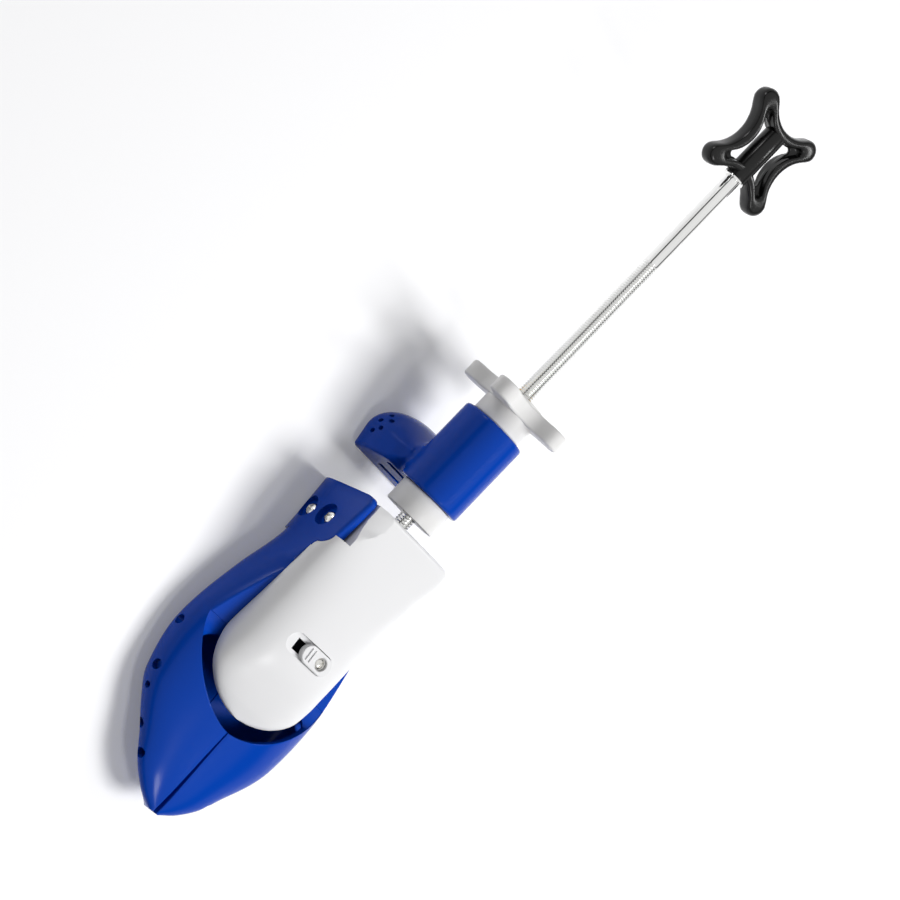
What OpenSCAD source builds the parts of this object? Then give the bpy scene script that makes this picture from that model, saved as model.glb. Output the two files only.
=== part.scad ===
// Two way shoe stretcher.
// A split toe form that a cam plate spreads, an instep plate held by a slide latch,
// a threaded rod with a four lobed ring handle, and a heel piece moved along the rod
// by a star knob.
// X runs to the toe, Y to the wearer's left side of the form, Z up, the sole is z = 0.
// Along the rod, q is the distance from the rear end of the heel barrel to the handle.

/* [Rod line] */
// rise of the rod toward the handle, in degrees
rod_tilt = 10; // [9:0.5:11]
// height of the toe form's rear over the rod's axis at the rear end of the barrel
rod_drop = 4; // [3.5:0.5:4.5]
// outer diameter of the threaded rod
rod_d = 8; // [7.6:0.2:8]
// distance along the rod to the middle of the handle
handle_q = 169.2; // [160:1:180]
// distance along the rod to the end of its thread
thread_end = 99.4; // [90:1:110]

/* [Toe form] */
// rear face of the toe form, from the rear end of the heel barrel
fore_x = 60; // [59:0.5:61]
// length of the toe form
fore_len = 159.5; // [156:0.5:162]
// greatest width of the toe form
fore_w = 88; // [86:1:92]
// height of the toe form at its rear
fore_h = 47; // [46:0.5:48]
// wall of the moulded halves
wall = 3; // [2.6:0.2:3.2]
// gap between the two halves at the rear of the seam
seam_gap = 0.5; // [0.4:0.1:1]
// gap between the two halves at the toe
toe_gap = 2; // [1.2:0.2:2.4]
// diameter of the holes for pressure plugs
plug_d = 4.8; // [4:0.2:5.2]
// diameter of the screw recesses in the ears
recess_d = 11.4; // [10:0.2:12]

/* [Instep plate] */
// greatest half width of the instep plate
plate_hw = 29; // [28:0.25:29.5]
// wall of the instep plate
plate_wall = 2.8; // [2.4:0.2:3]
// length of the latch pocket across the plate
pocket_l = 27.5; // [26:0.5:28]
// width of the latch pocket
pocket_w = 9.7; // [9:0.1:10]
// length of the latch button
button_l = 18; // [17:0.5:18.5]

/* [Heel] */
// diameter of the barrel
barrel_d = 32; // [31:0.5:33]
// length of the barrel
barrel_l = 42.4; // [40:0.2:43]
// width of the heel base
heel_w = 53.4; // [52:0.2:55]
// front of the heel base at the floor
heel_front = 41; // [40:0.5:42]
// back of the heel base at the floor
heel_back = 12.2; // [11:0.1:13]
// diameter of the front collar
collar_d = 26; // [25:0.5:27]
// length of the front collar
collar_l = 11.6; // [10:0.2:12]

/* [Knob and handle] */
// diameter of the knob's hub
hub_d = 25.5; // [25:0.5:26.5]
// distance from the axis to a lobe tip of the knob
knob_r = 28; // [27:0.5:30]
// thickness of the knob's star
knob_t = 8; // [7:0.5:9]
// turn of the knob's lobes from straight up, in degrees
knob_turn = 35; // [0:5:85]
// distance of the handle's lobe centres along and across the rod
lobe_p = 16.9; // [16:0.1:17.5]
// radius of the handle's lobes
lobe_r = 5; // [4.5:0.1:5.5]
// thickness of the handle's ring
ring_t = 9; // [8:0.5:10]
// band of the handle's ring at its narrow sides
ring_band = 3.8; // [3.4:0.1:4.4]

/* [Motion] */
// travel of the cam plate toward the toe
cam_travel = 18; // [12:1:18]
// angle each half opens over that travel, in degrees
open_angle = 5; // [4:0.25:5]

/* [Hidden] */
$fn = 48;
eps = 0.01;
blue = [0.02, 0.14, 0.62];
white = [0.95, 0.95, 0.95];
cream = [0.92, 0.91, 0.89];
black = [0.08, 0.08, 0.08];
steel = [0.75, 0.76, 0.78];
brass = [0.78, 0.62, 0.28];

// clearances
run_gap = 0.3;
fit_gap = 0.05;
slot_gap = 0.35;

// where the row's middle lies from the rear end of the barrel
tip_x = fore_x + fore_len;
handle_x = -(handle_q + lobe_p + lobe_r) * cos(rod_tilt) - ring_t / 2 * sin(rod_tilt);
row_x = -(tip_x + handle_x) / 2;

rod_r = rod_d / 2;
bore_r = rod_r + fit_gap;
free_r = rod_r + 0.5;
axis_h = fore_h - rod_drop;

// A cubic curve through a table of [place, value] rows.
function span(tab, x, i = 0) =
    (i >= len(tab) - 2 || x <= tab[i + 1][0]) ? i : span(tab, x, i + 1);
function slope(tab, i) =
    let (a = max(i - 1, 0), b = min(i + 1, len(tab) - 1))
    (tab[b][1] - tab[a][1]) / (tab[b][0] - tab[a][0]);
function curve(tab, x) =
    let (i = span(tab, x), h = tab[i + 1][0] - tab[i][0], t = (x - tab[i][0]) / h)
    (2 * t * t * t - 3 * t * t + 1) * tab[i][1]
    + (t * t * t - 2 * t * t + t) * slope(tab, i) * h
    + (3 * t * t - 2 * t * t * t) * tab[i + 1][1]
    + (t * t * t - t * t) * slope(tab, i + 1) * h;

// Skin over rings of points, all with the same count, closed by a fan at each end.
function middle(r) = [for (i = [0:2]) [for (p = r) p[i]] * [for (p = r) 1] / len(r)];
module loft(rings) {
    n = len(rings[0]);
    m = len(rings);
    sides = [for (i = [0:m - 2]) for (j = [0:n - 1])
        let (k = (j + 1) % n)
        for (f = [[i * n + j, (i + 1) * n + k, i * n + k],
            [i * n + j, (i + 1) * n + j, (i + 1) * n + k]]) f];
    ends = [for (j = [0:n - 1]) let (k = (j + 1) % n)
        for (f = [[j, k, m * n], [(m - 1) * n + k, (m - 1) * n + j, m * n + 1]]) f];
    polyhedron(points = concat([for (r = rings) for (p = r) p],
        [middle(rings[0]), middle(rings[m - 1])]), faces = concat(sides, ends));
}

// A plan in x and z, drawn out from y0 to y1.
module across(y0, y1) {
    translate([0, y1, 0]) rotate([90, 0, 0]) linear_extrude(y1 - y0) children();
}

// Local Z runs along the rod to the handle, local X is up from the axis.
module on_rod(q = 0) {
    translate([0, 0, axis_h]) rotate([0, rod_tilt - 90, 0]) translate([0, 0, q])
        children();
}

module rod_ring(q, len, r, hole) {
    on_rod(q) difference() {
        cylinder(r = r, h = len);
        translate([0, 0, -1]) cylinder(r = hole, h = len + 2);
    }
}

module in_row() {
    translate([row_x, 0, 0]) children();
}

// Toe form. Its plan, crown and flank height by the share of its length.
plan_tab = [[0, 0.61], [0.19, 0.66], [0.345, 0.84], [0.495, 0.977], [0.596, 1],
    [0.718, 0.92], [0.784, 0.807], [0.859, 0.614], [0.922, 0.455], [0.972, 0.25],
    [1, 0.07]];
crown_tab = [[0, 1], [0.19, 0.936], [0.345, 0.81], [0.495, 0.691], [0.596, 0.643],
    [0.718, 0.583], [0.784, 0.553], [0.922, 0.5], [1, 0.457]];
flank_tab = [[0, 0.255], [0.19, 0.255], [0.495, 0.213], [0.596, 0.191], [0.718, 0.234],
    [0.859, 0.319], [1, 0.404]];
sole_tab = [[0, 0], [0.3, 0], [0.6, 0], [0.715, 0], [0.796, 0.119], [0.915, 0.242],
    [1, 0.3]];
function share(x) = (x - fore_x) / fore_len;
function half_w(x) = fore_w / 2 * curve(plan_tab, share(x));
function crown(x) = fore_h * curve(crown_tab, share(x));
function flank(x) = fore_h * curve(flank_tab, share(x));
function sole(x) = max(0, fore_h * curve(sole_tab, share(x)));
function corner(x) = x < 84 ? 7 : x > 104 ? 2 : 7 - 5 * (x - 84) / 20;
function seam(x) = seam_gap / 2
    + max(0, share(x) - 0.718) / 0.282 * (toe_gap - seam_gap) / 2;
sole_round = 10;

// Shelf that carries the skirt of the instep plate.
shelf_end = fore_x + 79.3;
shelf_h = fore_h - 16.3;
shelf_fall = 0.245;
shelf_t = 2.5;
function shelf(x) = shelf_h - shelf_fall * (x - fore_x - 30);

// Ear that carries a hinge leaf, its top by the distance from the rear face. The right ear
// stands up beside the plate, the left one stays under the plate's skirt.
ear_wall = 4.2;
ear_out = fore_w / 88 * 26.6;
ear_in = ear_out - ear_wall;
ear_l = 28.5;
ear_top = fore_h - 4;
ear_fall = 0.19;
ear_r0 = 4;
ear_r1 = 5.5;
ear_round = 1.6;
function ear_z(d) = ear_top - ear_fall * d
    - (d < ear_r0 ? ear_r0 - sqrt(max(0, 2 * ear_r0 * d - d * d)) : 0)
    - (d > ear_l - ear_r1 ? ear_r1 - sqrt(max(0, ear_r1 * ear_r1 - pow(d - ear_l + ear_r1, 2)))
        : 0);

// Opening over the cam plate, square to the shelf and arched toward the toe.
deck_in = 21;
arch_hw = fore_w / 88 * 40;
arch_l = 35.2;
arch_e = 1.7;
function arch_y(x) = max(seam(x), arch_hw
    * pow(max(0, 1 - pow(min(1, (x - shelf_end) / arch_l), arch_e)), 1 / arch_e));

// Height of the outer skin over a place y, and its place at a height z.
function skin_z(x, y, t) = let (w = half_w(x) - t, n = corner(x))
    flank(x) + (crown(x) - t - flank(x)) * pow(max(0, 1 - pow(min(1, y / w), n)), 1 / n);
function skin_y(x, z, t) = let (w = half_w(x) - t, n = corner(x),
    s = max(0, min(1, (z - flank(x)) / (crown(x) - t - flank(x)))))
    w * pow(1 - pow(s, n), 1 / n);

// One ring of the left half: round the sole, up the flank, over the rim and back inside.
function foot_path(x, t, inner, turn = 18) =
    let (w = half_w(x) - t, zb = sole(x) + t, zm = flank(x),
        a = max(0.5, min(sole_round, w - inner - 0.5)))
    concat([[x, inner, zb]],
        [for (u = [0:turn:90]) [x, w - a + a * sin(u), zm - (zm - zb) * cos(u)]]);
side_n = 8;
inner_n = 10;
function flank_path(x, t, y1, n) =
    let (w = half_w(x) - t, u1 = acos(min(1, pow(max(0, y1 / w), corner(x) / 2))))
    [for (i = [1:n]) let (y = w * pow(cos(u1 * i / n), 2 / corner(x)))
        [x, y, skin_z(x, y, t)]];
function back(path) = [for (i = [len(path) - 1:-1:0]) path[i]];
function ear_ring(x, tall) =
    let (zt = tall ? ear_z(x - fore_x) : shelf(x),
        w = skin_y(x, min(zt - ear_round, crown(x) - 6), 0))
    concat(foot_path(x, 0, ear_in),
        [for (i = [1:side_n - 2]) let (z = flank(x) + (zt - ear_round - flank(x))
            * i / (side_n - 2)) [x, min(half_w(x), w + 0.02 * (side_n - i)), z]],
        [for (u = [45, 90]) [x, w - ear_round * (1 - cos(u)),
            zt - ear_round * (1 - sin(u))]],
        [[x, ear_in, zt]],
        [for (i = [1:inner_n]) [x, ear_in, zt + (sole(x) + 0.5 - zt) * i / (inner_n + 1)]]);
function shelf_ring(x) =
    let (zs = shelf(x), yr = skin_y(x, zs, 0), yi = skin_y(x, zs - shelf_t, wall))
    concat(foot_path(x, 0, seam(x)), flank_path(x, 0, yr, side_n),
        [[x, deck_in, zs], [x, deck_in, zs - shelf_t]],
        back(flank_path(x, wall, yi, 4)), back(foot_path(x, wall, seam(x), 30)));
function arch_ring(x) =
    let (y = max(arch_y(x), seam(x)), yi = min(y, half_w(x) - wall - 0.4))
    concat(foot_path(x, 0, seam(x)), flank_path(x, 0, y, side_n),
        [[x, y, skin_z(x, y, 0) - 0.6], [x, yi, skin_z(x, yi, wall) + 0.4]],
        back(flank_path(x, wall, yi, 4)), back(foot_path(x, wall, seam(x), 30)));
function toe_ring(x) =
    let (zt = skin_z(x, seam(x), 0), zb = sole(x))
    concat(foot_path(x, 0, seam(x)), flank_path(x, 0, seam(x), side_n),
        [for (i = [1:inner_n + 1]) [x, seam(x), zt + (zb - zt) * i / (inner_n + 2)]]);

solid_x = tip_x - 14;
step = 0.3;
function half_rings(tall) = concat(
    [for (d = [0, 1.2, 4, 14, ear_l - ear_r1, ear_l - 2.4, ear_l - 0.6, ear_l])
        ear_ring(fore_x + d, tall)],
    [for (i = [0:4]) shelf_ring(fore_x + ear_l + step
        + i * (shelf_end - fore_x - ear_l - step) / 4)],
    [for (d = [step, 7, 14, 21, 28, 33, 35.2, 44, 53, 61]) arch_ring(shelf_end + d)],
    [arch_ring(solid_x)],
    [for (d = [14 - step, 9, 5, 2, 0]) toe_ring(tip_x - d)]);

// Screws that hold the leaves in the ears.
knuckle_top = axis_h - 16.8;
recess_h = 2.6;
screw_x = fore_x + 16;
screw_z = [knuckle_top - 3.7, 7.5];
screw_r = 1.7;
head_r = 3;
head_h = 2.2;

// Hinges, cam pins and the travel of the cam plate.
hinge_x = fore_x + 8;
hinge_y = 14;
pin_r = 2;
knuckle_r = 4.5;
cam_r = 3;
cam_x = fore_x + 68;
cam_y = 9.8;
cam_z = axis_h - 25;
cam_t = 7.5;
cam_hw = deck_in - 0.5;
cam_nose_hw = 15.5;
cam_l = norm([cam_x - hinge_x, cam_y - hinge_y]);
cam_a = atan2(cam_y - hinge_y, cam_x - hinge_x);
cam_end_x = hinge_x + cam_l * cos(cam_a + open_angle) - cam_travel * cos(rod_tilt);
cam_end_y = hinge_y + cam_l * sin(cam_a + open_angle);

// Holes for pressure plugs, square to the skin: distance from the rear, height, share
// of the diameter.
plugs = [[90, 10, 1], [111, 13, 1], [120, 13, 0.65], [134, 13.5, 1], [144, 17, 1]];
plug_l = 5;
module at_plug(p) {
    x = fore_x + p[0];
    turn = atan(half_w(x - 0.5) - half_w(x + 0.5));
    rise = atan((skin_y(x, p[1] - 0.5, 0) - skin_y(x, p[1] + 0.5, 0)) * cos(turn));
    translate([x, skin_y(x, p[1], 0), p[1]]) rotate([0, 0, -turn]) rotate([rise - 90, 0, 0])
        children();
}

module half_solid(tall) {
    difference() {
        union() {
            loft(half_rings(tall));
            translate([cam_x, cam_y, wall - 1]) cylinder(r = cam_r + 3, h = 5);
        }
        for (p = plugs) at_plug(p) translate([0, 0, -plug_l - 1])
            cylinder(r = plug_d / 2 * p[2], h = plug_l + 4);
        translate([cam_x, cam_y, wall / 2]) cylinder(r = cam_r, h = 10);
        for (z = screw_z) translate([screw_x, 0, z]) rotate([-90, 0, 0]) {
            translate([0, 0, ear_in - 1]) cylinder(r = screw_r + fit_gap, h = 10);
            translate([0, 0, ear_out - recess_h]) cylinder(d = recess_d, h = 10);
        }
    }
}

module half_left() {
    color(blue) in_row() half_solid(false);
}

module half_right() {
    color(blue) in_row() mirror([0, 1, 0]) half_solid(true);
}

// steel leaf with its knuckle, screwed into the ear
leaf_t = 2.2;
flange_t = 5;
leaf_z = 2;
module leaf_solid() {
    difference() {
        union() {
            translate([hinge_x, hinge_y, flange_t + run_gap])
                cylinder(r = knuckle_r, h = knuckle_top - flange_t - run_gap);
            translate([hinge_x - 3.4, hinge_y, flange_t + run_gap])
                cube([7, ear_in - hinge_y, knuckle_top - flange_t - run_gap]);
            translate([hinge_x - 3.4, ear_in - leaf_t, leaf_z])
                cube([20, leaf_t, knuckle_top + 1.8 - leaf_z]);
        }
        translate([hinge_x, hinge_y, 0]) cylinder(r = pin_r + fit_gap, h = 40);
        for (z = screw_z) translate([screw_x, 0, z]) rotate([-90, 0, 0])
            cylinder(r = screw_r, h = 40);
    }
}

module hinge_leaf_left() {
    color(steel) in_row() leaf_solid();
}

module hinge_leaf_right() {
    color(steel) in_row() mirror([0, 1, 0]) leaf_solid();
}

// pan head screw with a cross recess
module ear_screw(z) {
    translate([screw_x, 0, z]) rotate([-90, 0, 0]) difference() {
        union() {
            translate([0, 0, ear_in - leaf_t]) cylinder(r = screw_r, h = 6);
            translate([0, 0, ear_out - recess_h]) intersection() {
                cylinder(r = head_r, h = head_h);
                translate([0, 0, head_h - 4.2]) sphere(r = 4.2);
            }
        }
        translate([0, 0, ear_out - recess_h + head_h - 1.2]) for (a = [0, 90]) rotate(a)
            translate([-1.9, -0.45, 0]) cube([3.8, 0.9, 3]);
    }
}

module ear_screw_left_top() {
    color(steel) in_row() ear_screw(screw_z[0]);
}

module ear_screw_left_low() {
    color(steel) in_row() ear_screw(screw_z[1]);
}

module ear_screw_right_top() {
    color(steel) in_row() mirror([0, 1, 0]) ear_screw(screw_z[0]);
}

module ear_screw_right_low() {
    color(steel) in_row() mirror([0, 1, 0]) ear_screw(screw_z[1]);
}

// post in the floor of a half that runs in a slot of the cam plate
module cam_pin(side) {
    translate([cam_x, side * cam_y, wall / 2])
        cylinder(r = cam_r, h = cam_z + cam_t - wall / 2 - 0.1);
}

module cam_pin_left() {
    color(steel) in_row() cam_pin(1);
}

module cam_pin_right() {
    color(steel) in_row() cam_pin(-1);
}

// cam plate with two slots that spread toward its rear
boss_q = -114.6 * fore_x / 60;
boss_l = 9.8;
journal_r = 3;
boss_r = 5.8;
module slot_cut(side) {
    dx = cam_end_x - cam_x;
    dy = cam_end_y - cam_y;
    r = cam_r + slot_gap;
    translate([cam_x, side * cam_y, cam_z - 1]) rotate(side * atan2(dy, dx)) {
        cylinder(r = r, h = cam_t + 2);
        translate([norm([dx, dy]) + 0.4, 0, 0]) cylinder(r = r, h = cam_t + 2);
        translate([0, -r, 0]) cube([norm([dx, dy]) + 0.4, 2 * r, cam_t + 2]);
    }
}

module cam_plate() {
    color(black) in_row() difference() {
        union() {
            translate([0, 0, cam_z]) linear_extrude(cam_t)
                polygon([[cam_x - 24, -cam_hw], [cam_x - 15, -cam_hw],
                    [cam_x + 6.5, -cam_nose_hw], [cam_x + 6.5, cam_nose_hw],
                    [cam_x - 15, cam_hw], [cam_x - 24, cam_hw]]);
            on_rod(boss_q) cylinder(r = boss_r, h = boss_l);
        }
        slot_cut(1);
        slot_cut(-1);
        on_rod(boss_q - 1) cylinder(r = journal_r + fit_gap, h = boss_l + 2);
        on_rod(boss_q - 9) cylinder(r = boss_r + 0.6, h = 9);
        on_rod(boss_q + boss_l) cylinder(r = boss_r + 0.6, h = 12);
    }
}

washer_t = 1;
clip_t = 0.8;
module thrust_washer() {
    color(steel) in_row() rod_ring(boss_q + boss_l + 0.1, washer_t, 5, journal_r + fit_gap);
}

module rod_clip() {
    color(steel) in_row() rod_ring(boss_q - clip_t - 0.1, clip_t, 4.8, journal_r - 0.4);
}

// rod with its journal, groove, thread core and reduced end in the handle
shoulder_q = boss_q + boss_l + washer_t + 0.2;
ring_w = 14.3;
hub_end = ring_w - ring_band;
handle_rod_r = 3;
washer_q = handle_q - ring_w - 3;
module rod() {
    color(steel) in_row() {
        on_rod(shoulder_q) cylinder(r = rod_r, h = thread_end - shoulder_q);
        on_rod(thread_end - 1) cylinder(r = rod_r - 0.3, h = washer_q - thread_end + 1);
        on_rod(washer_q - 1) cylinder(r = handle_rod_r, h = ring_w + 4 + hub_end - 0.4);
        difference() {
            on_rod(boss_q - 3) cylinder(r = journal_r, h = shoulder_q - boss_q + 4);
            rod_ring(boss_q - clip_t - 0.1, clip_t, journal_r + 1, journal_r - 0.4);
        }
    }
}

// Ring with four lobes: p is the pitch of the lobe centres, r their radius,
// w the distance from the middle to the hollow of each side.
module lobed(p, r, w) {
    d = (2 * p * p - (w - r) * (w - r)) / (2 * (p - (w - r)));
    difference() {
        square(2 * p + eps, center = true);
        for (a = [0:90:270]) rotate(a) translate([0, d]) circle(r = d - w, $fn = 96);
    }
    for (a = [0:90:270]) rotate(a) translate([p, p]) circle(r = r);
}

handle_hub_r = 5.4;
handle_nut_r = 4;
handle_nut_t = 3;
module handle() {
    color(black) in_row() on_rod(handle_q) difference() {
        union() {
            rotate([90, 0, 90]) linear_extrude(ring_t, center = true) difference() {
                lobed(lobe_p, lobe_r, ring_w);
                lobed(lobe_p - 6.4, 2, ring_w - ring_band);
            }
            translate([0, 0, -ring_w - 2]) cylinder(r = handle_hub_r,
                h = ring_w + 2 + hub_end);
        }
        translate([0, 0, -ring_w - 4]) cylinder(r = handle_rod_r, h = 3 * ring_w);
        translate([0, 0, hub_end - handle_nut_t]) cylinder(r = handle_nut_r + 0.1, h = 20);
    }
}

module handle_washer() {
    color(steel) in_row() rod_ring(washer_q, 1, 5.6, handle_rod_r);
}

module handle_nut() {
    color(steel) in_row() on_rod(handle_q + hub_end - handle_nut_t) difference() {
        cylinder(r = handle_nut_r, h = handle_nut_t, $fn = 6);
        translate([0, 0, -1]) cylinder(r = handle_rod_r, h = 6);
    }
}

// Core block: carries the rod's nut, both hinge pins, the hook pin and the latch strike.
web_hw = 9;
nut_af = 13;
nut_t = 6.5;
nut_q = -70.4 * fore_x / 60;
hook_x = fore_x + 18;
hook_z = fore_h - 9.5;
strike_x = fore_x + 68;
strike_y = 11;
arm_h = 7.4;
arm_t = 2;
bolt_t = 1.6;
pocket_floor = fore_h - 10;
bolt_z = pocket_floor - 5.4;
strike_z = bolt_z - 4;
module core_block() {
    color(black) in_row() difference() {
        union() {
            translate([fore_x + 1.5, -web_hw, 0]) cube([22.5, 2 * web_hw, axis_h - 7.5]);
            translate([fore_x + 12, -web_hw, 0]) cube([12, 2 * web_hw, axis_h - 2.4]);
            for (s = [-1, 1]) for (z = [0, knuckle_top + run_gap])
                translate([hinge_x, s * hinge_y, z]) cylinder(r = 5, h = flange_t);
            for (z = [0, knuckle_top + run_gap]) translate([hinge_x - 5, -hinge_y, z])
                cube([10, 2 * hinge_y, flange_t]);
            on_rod(-(strike_x + 6.5) / cos(rod_tilt) + 1.5) translate([arm_h, -5, 0])
                cube([arm_t, 10, strike_x - fore_x - 10]);
            translate([strike_x - 6, -5, strike_z]) cube([12, strike_y + 6.8, arm_t]);
            translate([strike_x - 6, strike_y, strike_z]) cube([12, 1.8, 7.4]);
        }
        on_rod(-100) cylinder(r = free_r, h = 60);
        on_rod(nut_q) cylinder(r = nut_af / 2 / cos(30), h = 30, $fn = 6);
        for (s = [-1, 1]) translate([hinge_x, s * hinge_y, -1])
            cylinder(r = pin_r, h = 60);
        translate([hook_x, 0, hook_z]) rotate([90, 0, 0])
            cylinder(r = pin_r, h = 60, center = true);
        translate([strike_x - 4.3, strike_y - 1, bolt_z - run_gap])
            cube([8.6, 5, bolt_t + 2 * run_gap]);
    }
}

module rod_nut() {
    color(steel) in_row() on_rod(nut_q) difference() {
        cylinder(r = nut_af / 2 / cos(30), h = nut_t, $fn = 6);
        translate([0, 0, -1]) cylinder(r = bore_r, h = nut_t + 2);
    }
}

module hinge_pin(side) {
    translate([hinge_x, side * hinge_y, 0.4]) cylinder(r = pin_r, h = knuckle_top + 4.6);
}

module hinge_pin_left() {
    color(steel) in_row() hinge_pin(1);
}

module hinge_pin_right() {
    color(steel) in_row() hinge_pin(-1);
}

hook_hl = 15;
module hook_pin() {
    color(steel) in_row() translate([hook_x, 0, hook_z]) rotate([90, 0, 0])
        cylinder(r = pin_r, h = 2 * hook_hl, center = true);
}

// Instep plate. The drop of its crown, its half width and its lower edge by the distance
// from its rear.
plate_x = fore_x + 1;
plate_l = 106.3;
plate_drop_tab = [[0, 0], [29, 3], [54, 6], [67, 7.6], [79, 9.8], [89, 13.4], [99, 17.8],
    [104, 20.4], [106.3, 21.6]];
plate_plan_tab = [[0, 1], [4, 1.05], [10, 1.04], [19, 1], [29, 1], [54, 1], [80, 1.02], [87, 0.99], [92.5, 0.93],
    [97, 0.81], [101.3, 0.62], [104, 0.42], [105.5, 0.24], [106.3, 0.07]];
plate_rise_tab = [[0, 0], [76, 0], [85, 2.8], [92, 6.2], [99, 9.2], [106.3, 11.6]];
plate_lift = 0.4;
plate_e_tab = [[0, 0.42], [8, 0.42], [27, 0.62], [36, 0.8], [110, 0.8]];
function plate_top(x) = fore_h - curve(plate_drop_tab, x - plate_x);
function plate_w(x) = plate_hw * curve(plate_plan_tab, x - plate_x);
function plate_low(x) = shelf(x) + plate_lift + curve(plate_rise_tab, x - plate_x);
function plate_arc(x, w, zb, zt) = let (e = lookup(x - plate_x, plate_e_tab))
    [for (u = [0:12:180]) let (c = cos(u))
        [x, w * sign(c) * pow(abs(c), e), zb + (zt - zb) * pow(sin(u), e)]];
function plate_ring(x) = concat(plate_arc(x, plate_w(x), plate_low(x), plate_top(x)),
    back(plate_arc(x, plate_w(x) - plate_wall, plate_low(x),
        plate_top(x) - plate_wall)));
function plate_end(x) = concat(plate_arc(x, plate_w(x), plate_low(x), plate_top(x)),
    [for (i = [0:15]) [x, plate_w(x) * (i / 8.5 - 15 / 17), plate_low(x)]]);
plate_rings = concat([for (d = [0, plate_wall]) plate_end(plate_x + d)],
    [for (d = [plate_wall + step, 8, 14, 20, 27, 36, 54, 67, 77, 85, 91, 96, 99.5])
        plate_ring(plate_x + d)],
    [for (d = [99.5 + step, 102.5, 105, 106.3]) plate_end(plate_x + d)]);
pocket_x = fore_x + 67.9;
slot_w = 5.7;
stem_y = 7;
latch_travel = 8;
module stadium(l, w, h) {
    for (s = [-1, 1]) translate([0, s * (l - w) / 2, 0]) cylinder(d = w, h = h);
    translate([-w / 2, -(l - w) / 2, 0]) cube([w, l - w, h]);
}

notch_in = ear_in - 1.1;
notch_z = knuckle_top + flange_t + 1.6;
lug_h = plate_top(hook_x) - plate_wall / 2 - hook_z + 2.2;
module ear_notch() {
    across(notch_in, 60) polygon(concat([[fore_x - 1, 0], [fore_x - 1, 60],
        [fore_x + 22, 60], [fore_x + 22, ear_z(22) + 0.6]],
        [for (d = [ear_l - 4.4, ear_l - 2, ear_l - 0.6])
            [fore_x + d + 0.5, ear_z(d) + 0.5]],
        [[fore_x + ear_l + 0.7, ear_z(ear_l)], [fore_x + ear_l + 0.7, 0]]));
}

module instep_plate() {
    color(white) in_row() difference() {
        union() {
            loft(plate_rings);
            intersection() {
                loft([for (d = [0, 8, 20, 27, 36]) plate_end(plate_x + d)]);
                translate([plate_x, -notch_in, notch_z]) cube([ear_l, plate_wall, fore_h]);
            }
            translate([pocket_x, 0, pocket_floor - 1.6])
                stadium(pocket_l + 3.6, pocket_w + 3.6, 1.9);
            for (s = [-1, 1]) translate([hook_x - 4, s * 12 - 1.5, hook_z - 2.2])
                cube([8, 3, lug_h]);
        }
        mirror([0, 1, 0]) ear_notch();
        translate([pocket_x, 0, pocket_floor]) stadium(pocket_l, pocket_w, 9);
        translate([pocket_x - slot_w / 2, -8.2, pocket_floor - 5]) cube([slot_w, 18.4, 9]);
        for (s = [-1, 1]) translate([hook_x, s * 12 - 2, hook_z]) rotate([-90, 0, 0])
            cylinder(r = pin_r, h = 4);
        for (s = [-1, 1]) translate([hook_x - 1.7, s * 12 - 2, hook_z - 10])
            cube([3.4, 4, 10]);
    }
}

// Latch button, its screw and the bolt below the plate.
button_end = pocket_l / 2 - 0.3;
module latch_button() {
    color(white) in_row() difference() {
        union() {
            translate([pocket_x, button_end - button_l / 2, pocket_floor + 0.1])
                stadium(button_l, pocket_w - 0.7, 3.4);
            for (y = [-1.6, 0.6]) translate([pocket_x - 3, y, pocket_floor + 3])
                cube([6, 0.9, 1.1]);
        }
        translate([pocket_x, stem_y, pocket_floor - 1]) cylinder(r = 1.1, h = 9);
        translate([pocket_x, stem_y, pocket_floor + 2.2]) cylinder(r = 3, h = 9);
    }
}

module latch_screw() {
    color(steel) in_row() translate([pocket_x, stem_y, 0]) difference() {
        union() {
            translate([0, 0, pocket_floor - 3]) cylinder(r = 1.1, h = 6);
            translate([0, 0, pocket_floor + 2.2]) intersection() {
                cylinder(r = 2.75, h = 1.6);
                translate([0, 0, 1.6 - 4]) sphere(r = 4);
            }
        }
        translate([0, 0, pocket_floor + 2.9]) for (a = [0, 90]) rotate(a)
            translate([-1.6, -0.4, 0]) cube([3.2, 0.8, 3]);
    }
}

module latch_bolt() {
    color(steel) in_row() difference() {
        union() {
            translate([pocket_x, stem_y, bolt_z])
                cylinder(r = 2.4, h = pocket_floor + 0.1 - bolt_z);
            translate([strike_x - 4, 2.5, bolt_z]) cube([8, 12, bolt_t]);
        }
        translate([pocket_x, stem_y, pocket_floor - 3]) cylinder(r = 1.1, h = 9);
    }
}

// Heel piece: a D shaped base that narrows into the barrel.
// Slots in the front face by height and half length, small holes by turn and height.
slot_h = 2.6;
heel_slots = [[7.2, 12], [axis_h - 26.8, 15]];
vents = [[84, 8.5], [97, 8.5], [109, 9], [90, 11.5], [103, 12.2]];
vent_r = 1.1;
heel_tab = [[0, 25], [2, 26.6], [5, 27.2], [10, 26.4], [15, 24.2], [20, 21.2], [26, 17.5],
    [34, 14]];
back_tab = [[0, 1.5], [2, 0.4], [5, 0], [10, 0.5], [15, 2.4], [20, 5.6], [26, 10], [34, 15]];
function heel_hw(z) = curve(heel_tab, z) * heel_w / 54.4;
heel_knee = axis_h - 23.2;
function heel_fx(z) = heel_front - (z < 2 ? 1 - z / 2 : 0) - 0.106 * min(z, heel_knee)
    - (z > heel_knee ? (z - heel_knee) * 0.5 : 0);
function heel_bx(z) = heel_back + curve(back_tab, z);
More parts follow.
